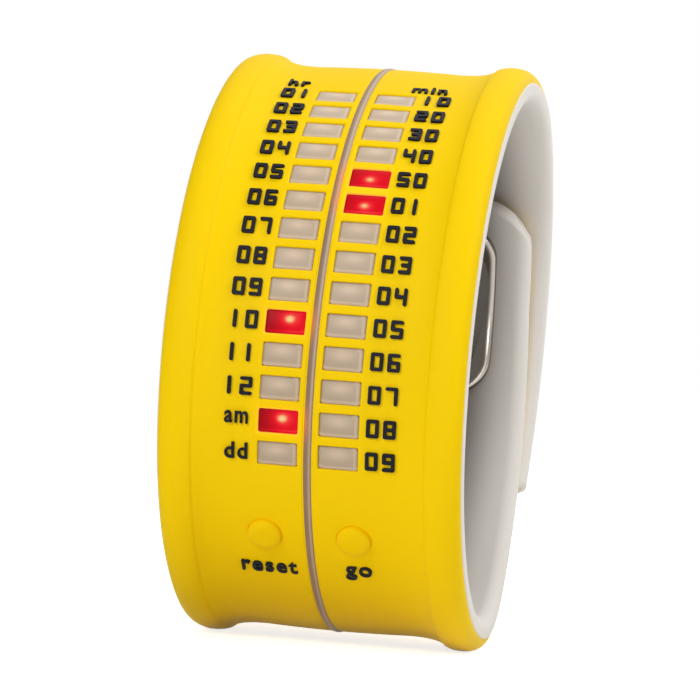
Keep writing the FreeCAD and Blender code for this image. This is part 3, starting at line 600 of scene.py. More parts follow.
def layer(name, across, stations, layer_faces, holes, lip, material):
    """A closed layer of the band: its seen face, its hidden face and the walls between them.

    layer_faces are two functions that turn (across, station) into x, station, height.  holes are functions
    of a growth that give the same number of points each time, and lip lists (growth, drop) steps from the
    seen face in.
    """
    seen, hidden = layer_faces
    flat, faces, border, edges = triangulated(across, stations, [hole(lip[0][0]) for hole in holes])
    points = [np.stack(face(flat[:, 0], flat[:, 1]), -1) for face in (seen, hidden)]
    count = len(flat)
    total = 2 * count
    polygons = [tuple(f) for f in faces.tolist()] + [tuple(f[::-1] + count) for f in faces]
    polygons += walls(border, [i + count for i in border])
    side = 1.0 if points[0][:, 2].mean() > points[1][:, 2].mean() else -1.0
    for hole, loop in zip(holes, edges):
        rings = [loop]
        for growth, drop in lip[1:]:
            x, station, height = seen(*hole(growth).T)
            points.append(np.stack([x, station, height - side * drop], -1))
            rings.append(list(range(total, total + len(loop))))
            total += len(loop)
        polygons += walls(*rings, [i + count for i in loop])
    return banded(name, np.concatenate(points), polygons, material)


def coordinates(piece):
    """A piece's points in millimetres."""
    co = np.zeros(len(piece.data.vertices) * 3)
    piece.data.vertices.foreach_get("co", co)
    return co.reshape(-1, 3) / MM


def to_places(piece):
    """Across and station of every point on a piece of the face."""
    x, y, z = coordinates(piece).T
    lean = math.radians(LEAN)
    away = FLAT_SHIFT - y * math.cos(lean) + z * math.sin(lean)
    return x, FLAT_RADIUS * np.arctan2(z * math.cos(lean) + y * math.sin(lean), away)


def place_on_band(points, station, x=0.0):
    """Local points (across, up the band, outwards) set square to the band at one place."""
    points = np.asarray(points, float)
    angle = float(along(np.array([station]))[3][0]) + math.radians(LEAN)
    origin = np.array(spot(x, station)) / MM
    up = np.array([0, math.sin(angle), math.cos(angle)])
    out = np.array([0, -math.cos(angle), math.sin(angle)])
    return MM * (origin + points[:, :1] * np.array([1, 0, 0]) + points[:, 1:2] * up + points[:, 2:] * out)


def lathe(profile, segments=64):
    """Points and faces of a solid turned from (radius, height) pairs that start and end on the axis."""
    turns = [2 * math.pi * k / segments for k in range(segments)]
    rings = [
        np.array([(0, 0, height)] if radius < 1e-6
                 else [(radius * math.cos(t), radius * math.sin(t), height) for t in turns])
        for radius, height in profile
    ]
    points, rows = numbered(rings)
    return points, walls(*rows)


def lines(*parts):
    """Sorted positions from (start, end, step) runs."""
    found = np.concatenate([np.linspace(a, b, max(2, round((b - a) / step) + 1)) for a, b, step in parts])
    return np.unique(np.round(found, 5))


def mirrored(positions):
    return np.unique(np.round(np.concatenate([-positions, positions]), 5))


def strap_rows(front, tip, step):
    """Stations from the front piece to a strap's tip, close together where it rounds off."""
    side = 1 if tip > 0 else -1
    tip_rows = [tip - side * d for d in (0, 0.02, 0.08, 0.17, 0.3, 0.45, 0.62, 0.8)]
    return np.unique(np.concatenate([lines((*sorted((front, tip - 0.8 * side)), step)), tip_rows]))


def skin_columns(fine):
    middle = lines((0, 0.54, 0.27), (0.54, 0.64, 0.02), (0.64, VALLEY_X, fine))
    share = np.linspace(0, 1, 36)
    edges = [
        VALLEY_X + length_of(RIM_TAIL[:np.argmin(np.hypot(*(RIM_TAIL - place).T)) + 1]) + step
        for place in (STEP_FOOT, CREASE)
        for step in (-0.14, -0.07, -0.03, 0, 0.03, 0.07, 0.14)
    ]
    return mirrored(np.concatenate([middle, VALLEY_X + (SKIN_REACH - VALLEY_X) * share, edges]))


def liner_columns():
    middle = lines((0, 11.6, 1.1), (11.8, 13.1, 0.13), (13.1, LINER_FLAT, 0.35))
    share = np.linspace(0, 1, 30)
    return mirrored(np.concatenate([middle, LINER_FLAT + (LINER_REACH - LINER_FLAT) * share]))


def window_hole(x, station):
    return lambda grow: rounded_loop((x, station), (WINDOW[0] / 2, WINDOW[1] / 2), WINDOW_CORNER, grow=grow)


def round_hole(x, station, radius):
    turns = np.linspace(0, 2 * math.pi, 49)[:-1]
    return lambda grow: np.stack([x + (radius + grow) * np.cos(turns), station + (radius + grow) * np.sin(turns)], -1)


def slot_holes():
    """The oblong holes of the upper strap, which take the studs."""
    middles = [(x, SLOT_START + SLOT_PITCH * row) for row in range(SLOT_ROWS) for x in (-SLOT_X, SLOT_X)]
    return [lambda grow, at=at: rounded_loop(at, SLOT_HALF, SLOT_CORNER, 8, grow, 3) for at in middles]


SKIN_LIP = ((0.2, 0), (0.12, 0.015), (0.055, 0.05), (0.015, 0.105), (0, 0.18), (0, 0.8))
SOFT_LIP = ((0.3, 0), (0.17, 0.03), (0.05, 0.13), (0, 0.28), (0, 1.0))


def glow_at(x, station):
    """How strongly painted light from the lit windows glows on the silicone round them."""
    total = np.zeros(np.shape(x))
    for side, row in LIT:
        dx = np.abs(x - (COLUMN_X if side else -COLUMN_X)) - WINDOW[0] / 2
        dy = np.abs(station - ROW_STATIONS[row]) - WINDOW[1] / 2
        away = np.hypot(np.clip(dx, 0, None), np.clip(dy, 0, None))
        total = total + 0.3 * np.exp(-away / 0.7) + 0.7 * np.exp(-((away / 0.16) ** 2))
    return np.clip(total, 0, 1)


# ---- Strokes of the numerals ----
WIDE, TALL = 0.47, 0.77
# Places on a digit by letter; each of its strokes runs from letter to letter.
CORNERS = {
    "a": (-WIDE, TALL), "b": (WIDE, TALL),
    "c": (-WIDE, 0), "d": (WIDE, 0), "h": (-0.25, 0),
    "e": (-WIDE, -TALL), "f": (WIDE, -TALL),
    "i": (0, -TALL), "j": (0, TALL),
}
GLYPHS = dict(zip("0123456789", ("efbae", "ij", "abdcef", "abfe hd", "acd bf", "bacdfe", "baefdc", "abf", "efbae cd",
                                 "efbacd")))
STROKE = 0.19
DIGIT_PITCH = 1.78
LABEL_FOOT = -0.5  # inside the skin
WORDS = (
    ("am", -7.62, ROW_STATIONS[12] + 0.15, (2.5, 1.3)),
    ("dd", -7.55, ROW_STATIONS[13] + 0.1, (2.45, 1.72)),
    ("hr", -7.85, 21.1, (2.32, 1.5)),
    ("min", 6.54, 21.0, (3.82, 1.5)),
    ("reset", -4.6, -40.7, (6.0, 1.8)),
    ("go", 4.99, -40.74, (2.85, 2.05)),
)


def capsule(a, b, radius, steps=5):
    """Outline of a round-ended stroke."""
    turn = math.atan2(b[1] - a[1], b[0] - a[0])
    arcs = [(b, turn - math.pi / 2), (a, turn + math.pi / 2)]
    return [
        (c[0] + radius * math.cos(first + math.pi * k / steps), c[1] + radius * math.sin(first + math.pi * k / steps))
        for c, first in arcs
        for k in range(steps + 1)
    ]


def union(polygons):
    """Triangles of the area that the polygons cover together, and the edges round it."""
    points, loops = [], []
    for polygon in polygons:
        loops.append(list(range(len(points), len(points) + len(polygon))))
        points += [Vector(p) for p in polygon]
    verts, _, found, _, _, _ = delaunay_2d_cdt(points, [], loops, 1, 1e-5)
    flat = np.array([tuple(v) for v in verts])
    found = np.array([f for f in found if len(f) == 3])
    centres = flat[found].mean(1)
    covered = np.any([inside_loop(centres, np.array(polygon)) for polygon in polygons], axis=0)
    found = found[covered].tolist()
    uses = {}
    for face in found:
        for i in range(3):
            a, b = face[i], face[(i + 1) % 3]
            uses.setdefault((min(a, b), max(a, b)), []).append((a, b))
    rim = [use[0] for use in uses.values() if len(use) == 1]
    return flat, found, rim


def raised_digits(text, x, station, rise):
    """Points and faces of two digits, from inside the skin to their tops."""
    points, faces = [], []
    for index, glyph in enumerate(text):
        shift = (index - (len(text) - 1) / 2) * DIGIT_PITCH
        strokes = [capsule(CORNERS[a], CORNERS[b], STROKE)
                   for line in GLYPHS[glyph].split() for a, b in zip(line, line[1:])]
        flat, inner, rim = union(strokes)
        first = len(points)
        top = first + len(flat)
        for height in (LABEL_FOOT, rise):
            points += [(x + shift + px, station + py, height) for px, py in flat]
        faces += [tuple(top + i for i in f) for f in inner] + [tuple(first + i for i in f[::-1]) for f in inner]
        faces += [(first + a, first + b, top + b, top + a) for a, b in rim]
    return points, faces


def raised_word(text, x, station, size, rise):
    """The same for a word in Blender's own typeface, fitted to a width and a height."""
    curve = bpy.data.curves.new("word", "FONT")
    curve.body = text
    curve.offset = 0.018
    curve.extrude = 0.5
    curve.space_character = 1.16
    curve.resolution_u = 5
    piece = bpy.data.objects.new("word", curve)
    bpy.context.scene.collection.objects.link(piece)
    bpy.context.view_layer.update()
    mesh = bpy.data.meshes.new_from_object(piece.evaluated_get(bpy.context.evaluated_depsgraph_get()))
    co = np.array([tuple(v.co) for v in mesh.vertices])
    faces = [tuple(f.vertices) for f in mesh.polygons]
    bpy.data.objects.remove(piece)
    bpy.data.curves.remove(curve)
    bpy.data.meshes.remove(mesh)
    low, high = co.min(0), co.max(0)
    share = (co - low) / (high - low) - [0.5, 0.5, 0]
    height = LABEL_FOOT + share[:, 2] * (rise - LABEL_FOOT)
    return np.stack([x + share[:, 0] * size[0], station + share[:, 1] * size[1], height], -1).tolist(), faces


# ---- Materials ----
def toned(color, factor):
    return tuple(min(max(c * factor, 0), 1) for c in color)


class Nodes:
    """A node tree under construction."""

    def __init__(self, tree):
        self.tree = tree
        tree.nodes.clear()

    def add(self, kind, inputs=None, **settings):
        node = self.tree.nodes.new(kind)
        for name, value in settings.items():
            setattr(node, name, value)
        for name, value in (inputs or {}).items():
            target = node.inputs[name]
            if isinstance(value, bpy.types.NodeSocket):
                self.tree.links.new(value, target)
            elif target.type == "RGBA":
                target.default_value = (*value, 1)
            else:
                target.default_value = value
        return node

    def math(self, operation, a, b=0.0, c=0.0):
        return self.add("ShaderNodeMath", {0: a, 1: b, 2: c}, operation=operation).outputs[0]

    def shown_white(self):
        """1 for what the camera sees directly, in a mirror or through glass."""
        path = self.add("ShaderNodeLightPath").outputs
        either = self.math("MAXIMUM", path["Is Camera Ray"], path["Is Glossy Ray"])
        return self.math("MAXIMUM", either, path["Is Transmission Ray"])


def grain_group():
    """Fine grain and a slow change of shade over it; Stretch packs the grain closer across the band."""
    found = bpy.data.node_groups.get("Grain")
    if found:
        return found
    tree = bpy.data.node_groups.new("Grain", "ShaderNodeTree")
    for label in ("Scale", "Depth", "Stretch"):
        tree.interface.new_socket(label, in_out="INPUT", socket_type="NodeSocketFloat")
    for label, kind in (("Shade", "Float"), ("Normal", "Vector")):
        tree.interface.new_socket(label, in_out="OUTPUT", socket_type="NodeSocket" + kind)
    nodes = Nodes(tree)
    entry = nodes.add("NodeGroupInput").outputs
    place = nodes.add("ShaderNodeTexCoord").outputs["Object"]
    pull = nodes.add("ShaderNodeCombineXYZ", {"X": entry["Stretch"], "Y": 1, "Z": 1}).outputs[0]
    pulled = nodes.add("ShaderNodeVectorMath", {0: place, 1: pull}, operation="MULTIPLY").outputs[0]
    fine = nodes.add("ShaderNodeTexNoise", {"Vector": pulled, "Scale": entry["Scale"], "Detail": 3}).outputs["Fac"]
    slow = nodes.add("ShaderNodeTexNoise", {"Vector": place, "Scale": 70, "Detail": 2}).outputs["Fac"]
    bump = nodes.add("ShaderNodeBump", {"Height": fine, "Distance": entry["Depth"]}).outputs["Normal"]
    shade = nodes.math("MULTIPLY_ADD", fine, 0.35, nodes.math("MULTIPLY", slow, 0.65))
    nodes.add("NodeGroupOutput", {"Shade": shade, "Normal": bump})
    return tree


class Paint(Nodes):
    """A material under construction, with its grain."""

    def __init__(self, name, scale, depth, stretch=1.0):
        self.material = bpy.data.materials.get(name) or bpy.data.materials.new(name)
        self.material.use_nodes = True
        super().__init__(self.material.node_tree)
        grain = self.add("ShaderNodeGroup", node_tree=grain_group())
        for label, value in (("Scale", scale), ("Depth", depth), ("Stretch", stretch)):
            grain.inputs[label].default_value = value
        self.shade, self.normal = grain.outputs["Shade"], grain.outputs["Normal"]

    def attribute(self, name):
        return self.add("ShaderNodeAttribute", attribute_name=name, attribute_type="GEOMETRY").outputs["Fac"]

    def mix(self, share, a, b, blend="MIX"):
        return self.add("ShaderNodeMix", {0: share, 6: a, 7: b}, data_type="RGBA", blend_type=blend).outputs[2]

    def varied(self, color, spread):
        """A colour that gets a little darker and lighter with the grain."""
        return self.mix(self.shade, toned(color, 1 - spread), toned(color, 1 + spread))

    def ramp(self, value, *stops):
        node = self.add("ShaderNodeValToRGB", {"Fac": value})
        elements = node.color_ramp.elements
        elements.remove(elements[1])
        elements[0].position = stops[0][0]
        elements[0].color = (*stops[0][1], 1)
        for place, color in stops[1:]:
            elements.new(place).color = (*color, 1)
        return node.outputs["Color"]

    def surface(self, color, roughness, specular, **inputs):
        values = {"Base Color": color, "Roughness": roughness, "Specular IOR Level": specular}
        values |= {name.replace("_", " "): value for name, value in inputs.items()}
        node = self.add("ShaderNodeBsdfPrincipled", values)
        self.add("ShaderNodeOutputMaterial", {"Surface": node.outputs[0]})
        return self.material


def simple(
    name, color, roughness, metallic=0.0, scale=2500.0, depth=0.000008, stretch=1.0, spread=0.12, specular=0.5
):
    """A plain moulded, cast or rolled finish with its grain."""
    paint = Paint(name, scale, depth, stretch)
    rough = paint.math("MULTIPLY_ADD", paint.shade, 0.12, roughness - 0.06)
    return paint.surface(paint.varied(color, spread), rough, specular, Metallic=metallic, Normal=paint.normal)


def skin_material(look, name="Yellow silicone", lighter=1.0):
    """Matt silicone with painted light glowing round the edges of the lit windows."""
    paint = Paint(name, 4200.0, look.grain)
    lit = paint.ramp(
        paint.attribute("glow"),
        (0.0, (0, 0, 0)), (0.3, (0.34, 0.045, 0.0)), (0.55, (0.8, 0.2, 0.04)), (1.0, (1.0, 0.42, 0.16)),
    )
    base = paint.varied(toned(look.skin_color, lighter), 0.03)
    rough = paint.math("MULTIPLY_ADD", paint.shade, 0.1, 0.5)
    return paint.surface(base, rough, 0.08, Normal=paint.normal, Emission_Color=lit, Emission_Strength=look.glow)


def liner_material(look):
    """Pale silicone with painted shade: greyer inside the band, away from its edges."""
    paint = Paint("Pale silicone", 3600.0, 0.000009)
    inside_shade = paint.mix(paint.attribute("inside"), paint.varied(look.liner_color, 0.03), tuple(look.inside_shade_color))
    return paint.surface(inside_shade, 0.55, 0.08, Normal=paint.normal)


def paint_inside_shade(piece, reach):
    """Paints shade on a liner: how deep inside the band each point lies, out to reach millimetres from the middle."""
    x, _, z = coordinates(piece).T
    inside_shade = 1 - smooth(np.abs(x), 0.5 * reach, 0.97 * reach)
    # Painted shade, with less of it towards the bottom of the band.
    paint(piece, "inside", inside_shade * (0.3 + 0.7 * smooth(z, -32, -26)))


def pad_material(look):
    """Milky plastic with painted light and shade: a painted highlight in a soft patch where the light gathers under
    the crown, and painted shade at its edges.
    """
    color = tuple(look.pad_color)
    paint = Paint("Milky window", 5200.0, 0.000003)
    # The ramp's darkest stop is painted shade at the pads' left and upper edges, its lightest a painted highlight.
    base = paint.ramp(
        paint.attribute("core"),
        (0.0, (0.36, 0.19, 0.07)), (0.2, toned(color, 0.74)), (0.45, color), (1.0, toned(color, 1.45)),
    )
    window_lit = paint.mix(paint.attribute("glow"), base, (0.95, 0.30, 0.12))
    return paint.surface(window_lit, 0.34, 0.15, Normal=paint.normal)


def lit_material(look):
    """Plastic with the light of an LED behind it, hottest where its warmth attribute is highest."""
    red = tuple(look.lit_color)
    paint = Paint("Lit window", 5200.0, 0.000003)
    shown = paint.ramp(
        paint.attribute("warmth"),
        (0.0, toned(red, 0.3)), (0.2, toned(red, 0.62)), (0.42, red),
        (0.62, (1.0, 0.06, 0.06)), (0.8, (1.0, 0.3, 0.12)), (1.0, (1.0, 0.76, 0.34)),
    )
    dark = toned(red, 0.12)
    return paint.surface(dark, 0.25, 0.05, Normal=paint.normal, Emission_Color=shown, Emission_Strength=0.8)


def bead_material():
    """Smoky plastic with painted light and shade: a painted highlight along its crest and painted shade, brown, at
    its foot.
    """
    paint = Paint("Smoky bead", 4800.0, 0.000004)
    base = paint.ramp(
        paint.attribute("core"), (0.0, (0.34, 0.19, 0.07)), (0.35, (0.31, 0.2, 0.14)), (1.0, (0.6, 0.47, 0.35))
    )
    shaded = paint.mix(1.0, base, paint.mix(paint.shade, (0.85, 0.85, 0.85), (1.0, 1.0, 1.0)), "MULTIPLY")
    window_lit = paint.mix(paint.attribute("glow"), shaded, (0.9, 0.28, 0.08))
    return paint.surface(window_lit, 0.45, 0.15, Normal=paint.normal)


def steel_material():
    # Dark and warm: a painted reflection of the shaded band that the plate faces.
    return simple("Polished steel", (0.34, 0.305, 0.27), 0.2, 1.0, 1800.0, 0.000002, 8.0, 0.06)


# ---- Settings ----
def colour(name, text, default):
    return FloatVectorProperty(name=name, description=text, subtype="COLOR", size=3, min=0, max=1, default=default)


def power(name, place, default):
    text = "Power of the light " + place
    return FloatProperty(name=name, description=text, default=default, min=0, unit="POWER")


class WatchLook(PropertyGroup):
    skin_color: colour("Skin", "Outer silicone", (1.0, 0.655, 0.0))
    liner_color: colour("Liner", "Inner silicone", (0.86, 0.815, 0.75))
    # Painted shade: the liner's colour deep inside the band, away from its edges.
    inside_shade_color: colour("Liner inside", "Inner silicone away from its edges", (0.20, 0.172, 0.158))
    pad_color: colour("Windows", "Windows that aren't lit", (0.54, 0.42, 0.305))
    lit_color: colour("Light", "Windows that are lit", (0.88, 0.005, 0.018))
    label_color: colour("Numerals", "Raised numerals and words", (0.010, 0.010, 0.016))
    label_rise: FloatProperty(
        name="Numeral height", description="Tops of the numerals over the valley of the face", default=0.0003,
        min=0, unit="LENGTH")
    grain: FloatProperty(
        name="Grain", description="Depth of the silicone's grain", default=0.000007, min=0, unit="LENGTH")
    glow: FloatProperty(name="Glow", description="Light that the lit windows throw on the skin", default=0.2, min=0)


class WatchStage(PropertyGroup):
    key: power("Key light", "in front on the left", 2.6)
    fill: power("Fill light", "in front, by the camera", 0.8)
    top: power("Top light", "overhead", 1.6)
    side: power("Side light", "high on the right", 2.1)
    back: power("Back light", "behind the watch", 0.8)
    ambient: FloatProperty(name="Ambient", description="Light from all round", default=0.05, min=0)
    distance: FloatProperty(name="Camera distance", description="From the watch to the camera", default=0.4111,
                            min=0.05, unit="LENGTH")
    floor_color: colour("Floor", "Floor under the watch", (0.86, 0.86, 0.86))


def dress(piece, slot_name, *nodes):
    if nodes:
        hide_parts(*nodes)


def repaint(material, *nodes):
    """Gives carried-over CAD nodes a material."""
    for name in nodes:
        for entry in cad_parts[name].material_slots:
            entry.material = material


def round_edges(piece, width, angle, harden):
    bevel = piece.modifiers.new("edges", "BEVEL")
    bevel.width = width * MM
    bevel.segments = 2
    bevel.limit_method = "ANGLE"
    bevel.angle_limit = math.radians(angle)
    bevel.harden_normals = harden


def soften(width, *nodes):
    """Rounds the sharp edges of carried-over CAD nodes."""
    for name in nodes:
        round_edges(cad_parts[name], width, 50, True)


def straps(name, columns, steps, layer_faces, material, slot_name):
    """The two straps of a layer, beyond the ends of the front piece."""
    rows = strap_rows(FRONT_HIGH, UPPER_TIP, steps[0])
    upper = layer(name + "_upper", columns, rows, layer_faces, slot_holes(), SOFT_LIP, material)
    spot(0, UPPER_HINGE - 8.5)
    spot(0, UPPER_HINGE + 8.5)
    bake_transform(upper)
    dress(upper, slot_name, "upper_strap_" + name)

    rows = strap_rows(FRONT_LOW, LOWER_TIP, steps[1])
    lower = layer(name + "_lower", columns, rows, layer_faces, [], SOFT_LIP, material)
    spot(0, LOWER_HINGE + 7)
    spot(0, LOWER_HINGE - 7)
    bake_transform(lower)
    dress(lower, slot_name, "lower_strap_" + name)
    return upper, lower


# ---- Operators ----
class WATCH_OT_skin(Operator):
    """Outer silicone: the front with its windows, and the two straps"""

    bl_idname = "watch.skin"
    bl_label = "Band skin"

    def execute(self, context):
        material = skin_material(context.scene.watch_look)
        holes = [window_hole(x, s) for s in ROW_STATIONS for x in (-COLUMN_X, COLUMN_X)]
        holes += [round_hole(x, BUTTON_STATION, BUTTON_RADIUS - 0.01) for x in (-BUTTON_X, BUTTON_X)]
        rows = lines((FRONT_LOW, -41, 0.9), (-41, -30.5, 0.6), (-30.5, 21, 0.42), (21, FRONT_HIGH, 0.6))
        front = layer("skin_front", skin_columns(0.36), rows, SKIN_FACES, holes, SKIN_LIP, material)
        # Painted light round the lit windows, shown by the skin's emission.
        paint(front, "glow", glow_at(*to_places(front)))
        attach(front, "case")
        dress(front, "yellow_silicone", "case_skin")
        straps("skin", skin_columns(0.8), (0.8, 0.9), SKIN_FACES, material, "yellow_silicone")
        return {"FINISHED"}


class WATCH_OT_liner(Operator):
    """Inner silicone, which bulges inwards over the module"""

    bl_idname = "watch.liner"
    bl_label = "Band liner"

    def execute(self, context):
        material = liner_material(context.scene.watch_look)
        cover = [lambda grow: rounded_loop(COVER_MIDDLE, COVER_HALF, COVER_CORNER, 6, grow, 30)]
        rows = lines((FRONT_LOW, -51, 1.0), (-51, -45, 0.5), (-45, -30, 1.2), (-30, -25, 0.5), (-25, 24, 1.1),
                     (24, FRONT_HIGH, 0.5))
        front = layer("liner_front", liner_columns(), rows, LINER_FACES, cover, SOFT_LIP, material)
        paint_inside_shade(front, HALF_WIDTH)
        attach(front, "case")
        dress(front, "pale_silicone", "case_liner")
        upper, lower = straps("liner", liner_columns(), (1.0, 1.0), LINER_FACES, material, "pale_silicone")
        paint_inside_shade(upper, UPPER_HALF_WIDTH)
        paint_inside_shade(lower, TONGUE_HALF_WIDTH)
        return {"FINISHED"}


def flat_rings(loop, count, height):
    """Rings that shrink from a loop round the origin to a single point there."""
    shares = [1 - k / count for k in range(1, count)]
    return [with_height(loop * share, height) for share in shares] + [with_height(loop[:1] * 0, height)]


def with_height(loop, height):
    return np.column_stack([loop, np.full(len(loop), height)])


def pad_points(side, row, rings):
    """Rings of a nearly flush pad, from its foot in the window up over its bevel to its middle."""
    half = (WINDOW[0] / 2 + 0.01, WINDOW[1] / 2 + 0.01)
    steps = [(0, -1.2), (0, -0.43), (-0.03, -0.37), (-0.08, -0.335), (-0.16, -0.31), (-0.26, -0.29), (-0.32, PAD_TOP)]
    points = [with_height(rounded_loop((0, 0), half, PAD_CORNER, 4, grow), height) for grow, height in steps]
    for ring in flat_rings(points[-1][:, :2], rings, PAD_TOP):
        crown = (1 - (ring[:, 0] / half[0]) ** 2) * (1 - (ring[:, 1] / half[1]) ** 2)
        ring[:, 2] += 0.05 * crown
        points.append(ring)
    return [p + [(-COLUMN_X, COLUMN_X)[side], ROW_STATIONS[row], 0] for p in points]


def in_window(x, station):
    """Places across and up the nearest window from its middle, and the window's column and row."""
    row = np.clip(np.round((ROW_STATIONS[0] - station) / ROW_PITCH), 0, ROWS - 1)
    side = np.sign(x)
    return x - side * COLUMN_X, station - (ROW_STATIONS[0] - ROW_PITCH * row), side, row


def at_edge(across, up):
    """How near a place in a window is to its left, right, upper and lower edge: 1 at the edge, 0 from 0.32 mm in."""
    half_x, half_y = WINDOW[0] / 2, WINDOW[1] / 2
    return [1 - smooth(gap, 0.1, 0.32) for gap in (half_x + across, half_x - across, half_y - up, half_y + up)]


def ringed(name, stacks, material):
    """One closed mesh from stacks of rings; a ring of one point closes a stack, and its first ring is a flat foot."""
    points, rows = numbered([ring for stack in stacks for ring in stack])
    faces, first = [], 0
    for stack in stacks:
        mine = rows[first:first + len(stack)]
        faces += [tuple(mine[0][::-1]), *walls(*mine)]
        first += len(stack)
    return banded(name, points, faces, material)


class WATCH_OT_display(Operator):
    """Windows, lit and unlit, and the bead between the two columns"""

    bl_idname = "watch.display"
    bl_label = "Windows and bead"

    def execute(self, context):
        look = context.scene.watch_look
        places = [(side, row) for row in range(ROWS) for side in (0, 1)]
        dark = [pad_points(*place, 7) for place in places if place not in LIT]
        pads = ringed("window_pads", dark, pad_material(look))
        x, station = to_places(pads)
        across, up, _, row = in_window(x, station)
        left, right, upper, lower = at_edge(across, up)
        # Painted light and shade on the unlit pads: a painted highlight under the crown, along the right and lower
        # bevels and at the lower edge; painted shade at the left and upper edges and a little at the right; a little
        # darker from row to row down the ladder.
        highlight_patch = bell(across + 0.1, 1.25) * bell(up - 0.45, 0.6)
        bevel = np.maximum(bell(WINDOW[0] / 2 - 0.3 - across, 0.1), bell(WINDOW[1] / 2 - 0.28 + up, 0.1))
        core = 0.45 - 0.01 * row + 0.42 * highlight_patch + 0.3 * bevel - 0.22 * np.maximum(left, upper) - 0.1 * right
        paint(pads, "core", np.clip(core + 0.1 * lower, 0, 1))
        # Painted light from the lit windows on the unlit pads near them.
        paint(pads, "glow", 0.25 * glow_at(x, station))
        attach(pads, "case")
        dress(pads, "light_guide", "light_guide")

        bright = [pad_points(*place, 18) for place in sorted(LIT)]
        lit = ringed("lit_pads", bright, lit_material(look))
        across, up, side, _ = in_window(*to_places(lit))
        left, _, upper, _ = at_edge(across, up)
        minutes = side > 0
        dx, dy = across - np.where(minutes, 0.0, 0.4), up - np.where(minutes, -0.22, 0.34)
        warm = 0.3 * bell(dx, 1.2) * bell(dy, 0.75) + np.where(minutes, 0.65, 0.85) * bell(dx, 0.5) * bell(dy, 0.4)
        heat = np.where(minutes, 0.22, 0.06) + np.where(minutes, 0.12, 0.32) * smooth(across, -2, 0.8) + 0.7 * warm
        # The LED's light, with painted shade at the left and upper edges and a painted highlight along the lower
        # bevel.
        heat = heat + 0.14 * bell(WINDOW[1] / 2 - 0.28 + up, 0.1) - 0.14 * left - 0.06 * upper
        paint(lit, "warmth", np.clip(heat, 0, 1))
        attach(lit, "case")
        dress(lit, "light_guide")

        bead = self.bead()
        x, station = to_places(bead)
        # Painted light from the lit windows on the bead beside them.
        warm = np.zeros(len(x))
        for side, row in LIT:
            off = x * (1 if side else -1)
            warm += bell(station - ROW_STATIONS[row], 1.6) * np.clip(0.35 + off, 0.05, 0.8)
        paint(bead, "glow", np.clip(warm, 0, 0.6))
        # Painted light and shade on the bead: a painted highlight just right of its middle and a lighter right half,
        # painted shade at its foot and towards its lower end.
        lighter = 0.6 * bell(x - 0.2, 0.11) + 0.12 * smooth(x, -0.1, 0.3)
        edge = 1 - smooth(np.abs(x), 0.4, 0.5)
        paint(bead, "core", np.clip((0.26 + 0.2 * smooth(station, -30, 20) + lighter) * edge, 0, 1))
        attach(bead, "case")
        dress(bead, "light_guide")
        return {"FINISHED"}

    @staticmethod
    def bead():
        """A half-round bar that follows the band and is rounded off at both ends."""
        low, high = BEAD_SPAN
        half = BEAD_HALF_WIDTH
        turns = np.linspace(0, math.pi, 15)
        ends = half * (1 - np.cos(np.linspace(0, math.pi / 2, 6)))
        rings = []
        for s in np.concatenate([low + ends, np.arange(low + 1.1, high - 1.0, 0.8), high - ends[::-1]]):
            inset = max(low + half - s, s - high + half, 0)
            size = math.sqrt(max(half**2 - inset**2, 1e-4)) / half
            ring = [(half * size * math.cos(t), s, 0.42 * size * math.sin(t) - 0.42) for t in turns]
            rings.append(ring + [(-half * size, s, -0.8), (half * size, s, -0.8)])
        points, rows = numbered(rings)
        faces = walls(*rows) + [tuple(rows[0]), tuple(rows[-1][::-1])]
        return banded("bead", points, faces, bead_material(), 50)


class WATCH_OT_numerals(Operator):
    """Raised numerals beside the windows and words at the ends of the columns"""

    bl_idname = "watch.numerals"
    bl_label = "Numerals"

    def execute(self, context):
        look = context.scene.watch_look
        rise = look.label_rise / MM + PAD_TOP
        hours = [f"{hour:02d}" for hour in range(1, 13)]
        minutes = [f"{tens}0" for tens in range(1, 6)] + [f"{unit:02d}" for unit in range(1, 10)]
        columns = ((-LABEL_X, hours), (LABEL_X, minutes))
        digits = [raised_digits(text, x, ROW_STATIONS[row], rise) for x, column in columns
                  for row, text in enumerate(column)]
        numerals = self.labels("numerals", digits, look)
        round_edges(numerals, 0.05, 60, False)
        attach(numerals, "case")

        words = self.labels("words", [raised_word(*word, rise) for word in WORDS], look)
        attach(words, "case")
        return {"FINISHED"}

    @staticmethod
    def labels(name, solids, look):
        material = simple("Dark silicone", tuple(look.label_color), 0.5, scale=6000.0, depth=0.000004, spread=0.2,
                          specular=0.1)
        points, faces = [], []
        for more, solid in solids:
            faces += [tuple(len(points) + i for i in face) for face in solid]
            points += more
        return banded(name, points, faces, material, 40)


class WATCH_OT_buttons(Operator):
    """The two push buttons"""

    bl_idname = "watch.buttons"
    bl_label = "Buttons"

    def execute(self, context):
        material = skin_material(context.scene.watch_look, "Button silicone", 0.98)
        profile = rounded_profile([
            (0, 0.52, 0),
            (BUTTON_RADIUS * 0.74, 0.48, 0.5),
            (BUTTON_RADIUS, 0.14, 0.16),
            (BUTTON_RADIUS, -1.3, 0),
            (2.5, -1.3, 0.05),
            (2.5, -1.6, 0.05),
            (0, -1.6, 0),
        ], 6)
        for name, x in (("reset", -BUTTON_X), ("go", BUTTON_X)):
            points, faces = lathe(profile)
            cap = closed_piece(name + "_cap", place_on_band(points, BUTTON_STATION, x), faces, material, 50)
            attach(cap, name + "_button")
            dress(cap, "button_silicone", name + "_button")
        return {"FINISHED"}


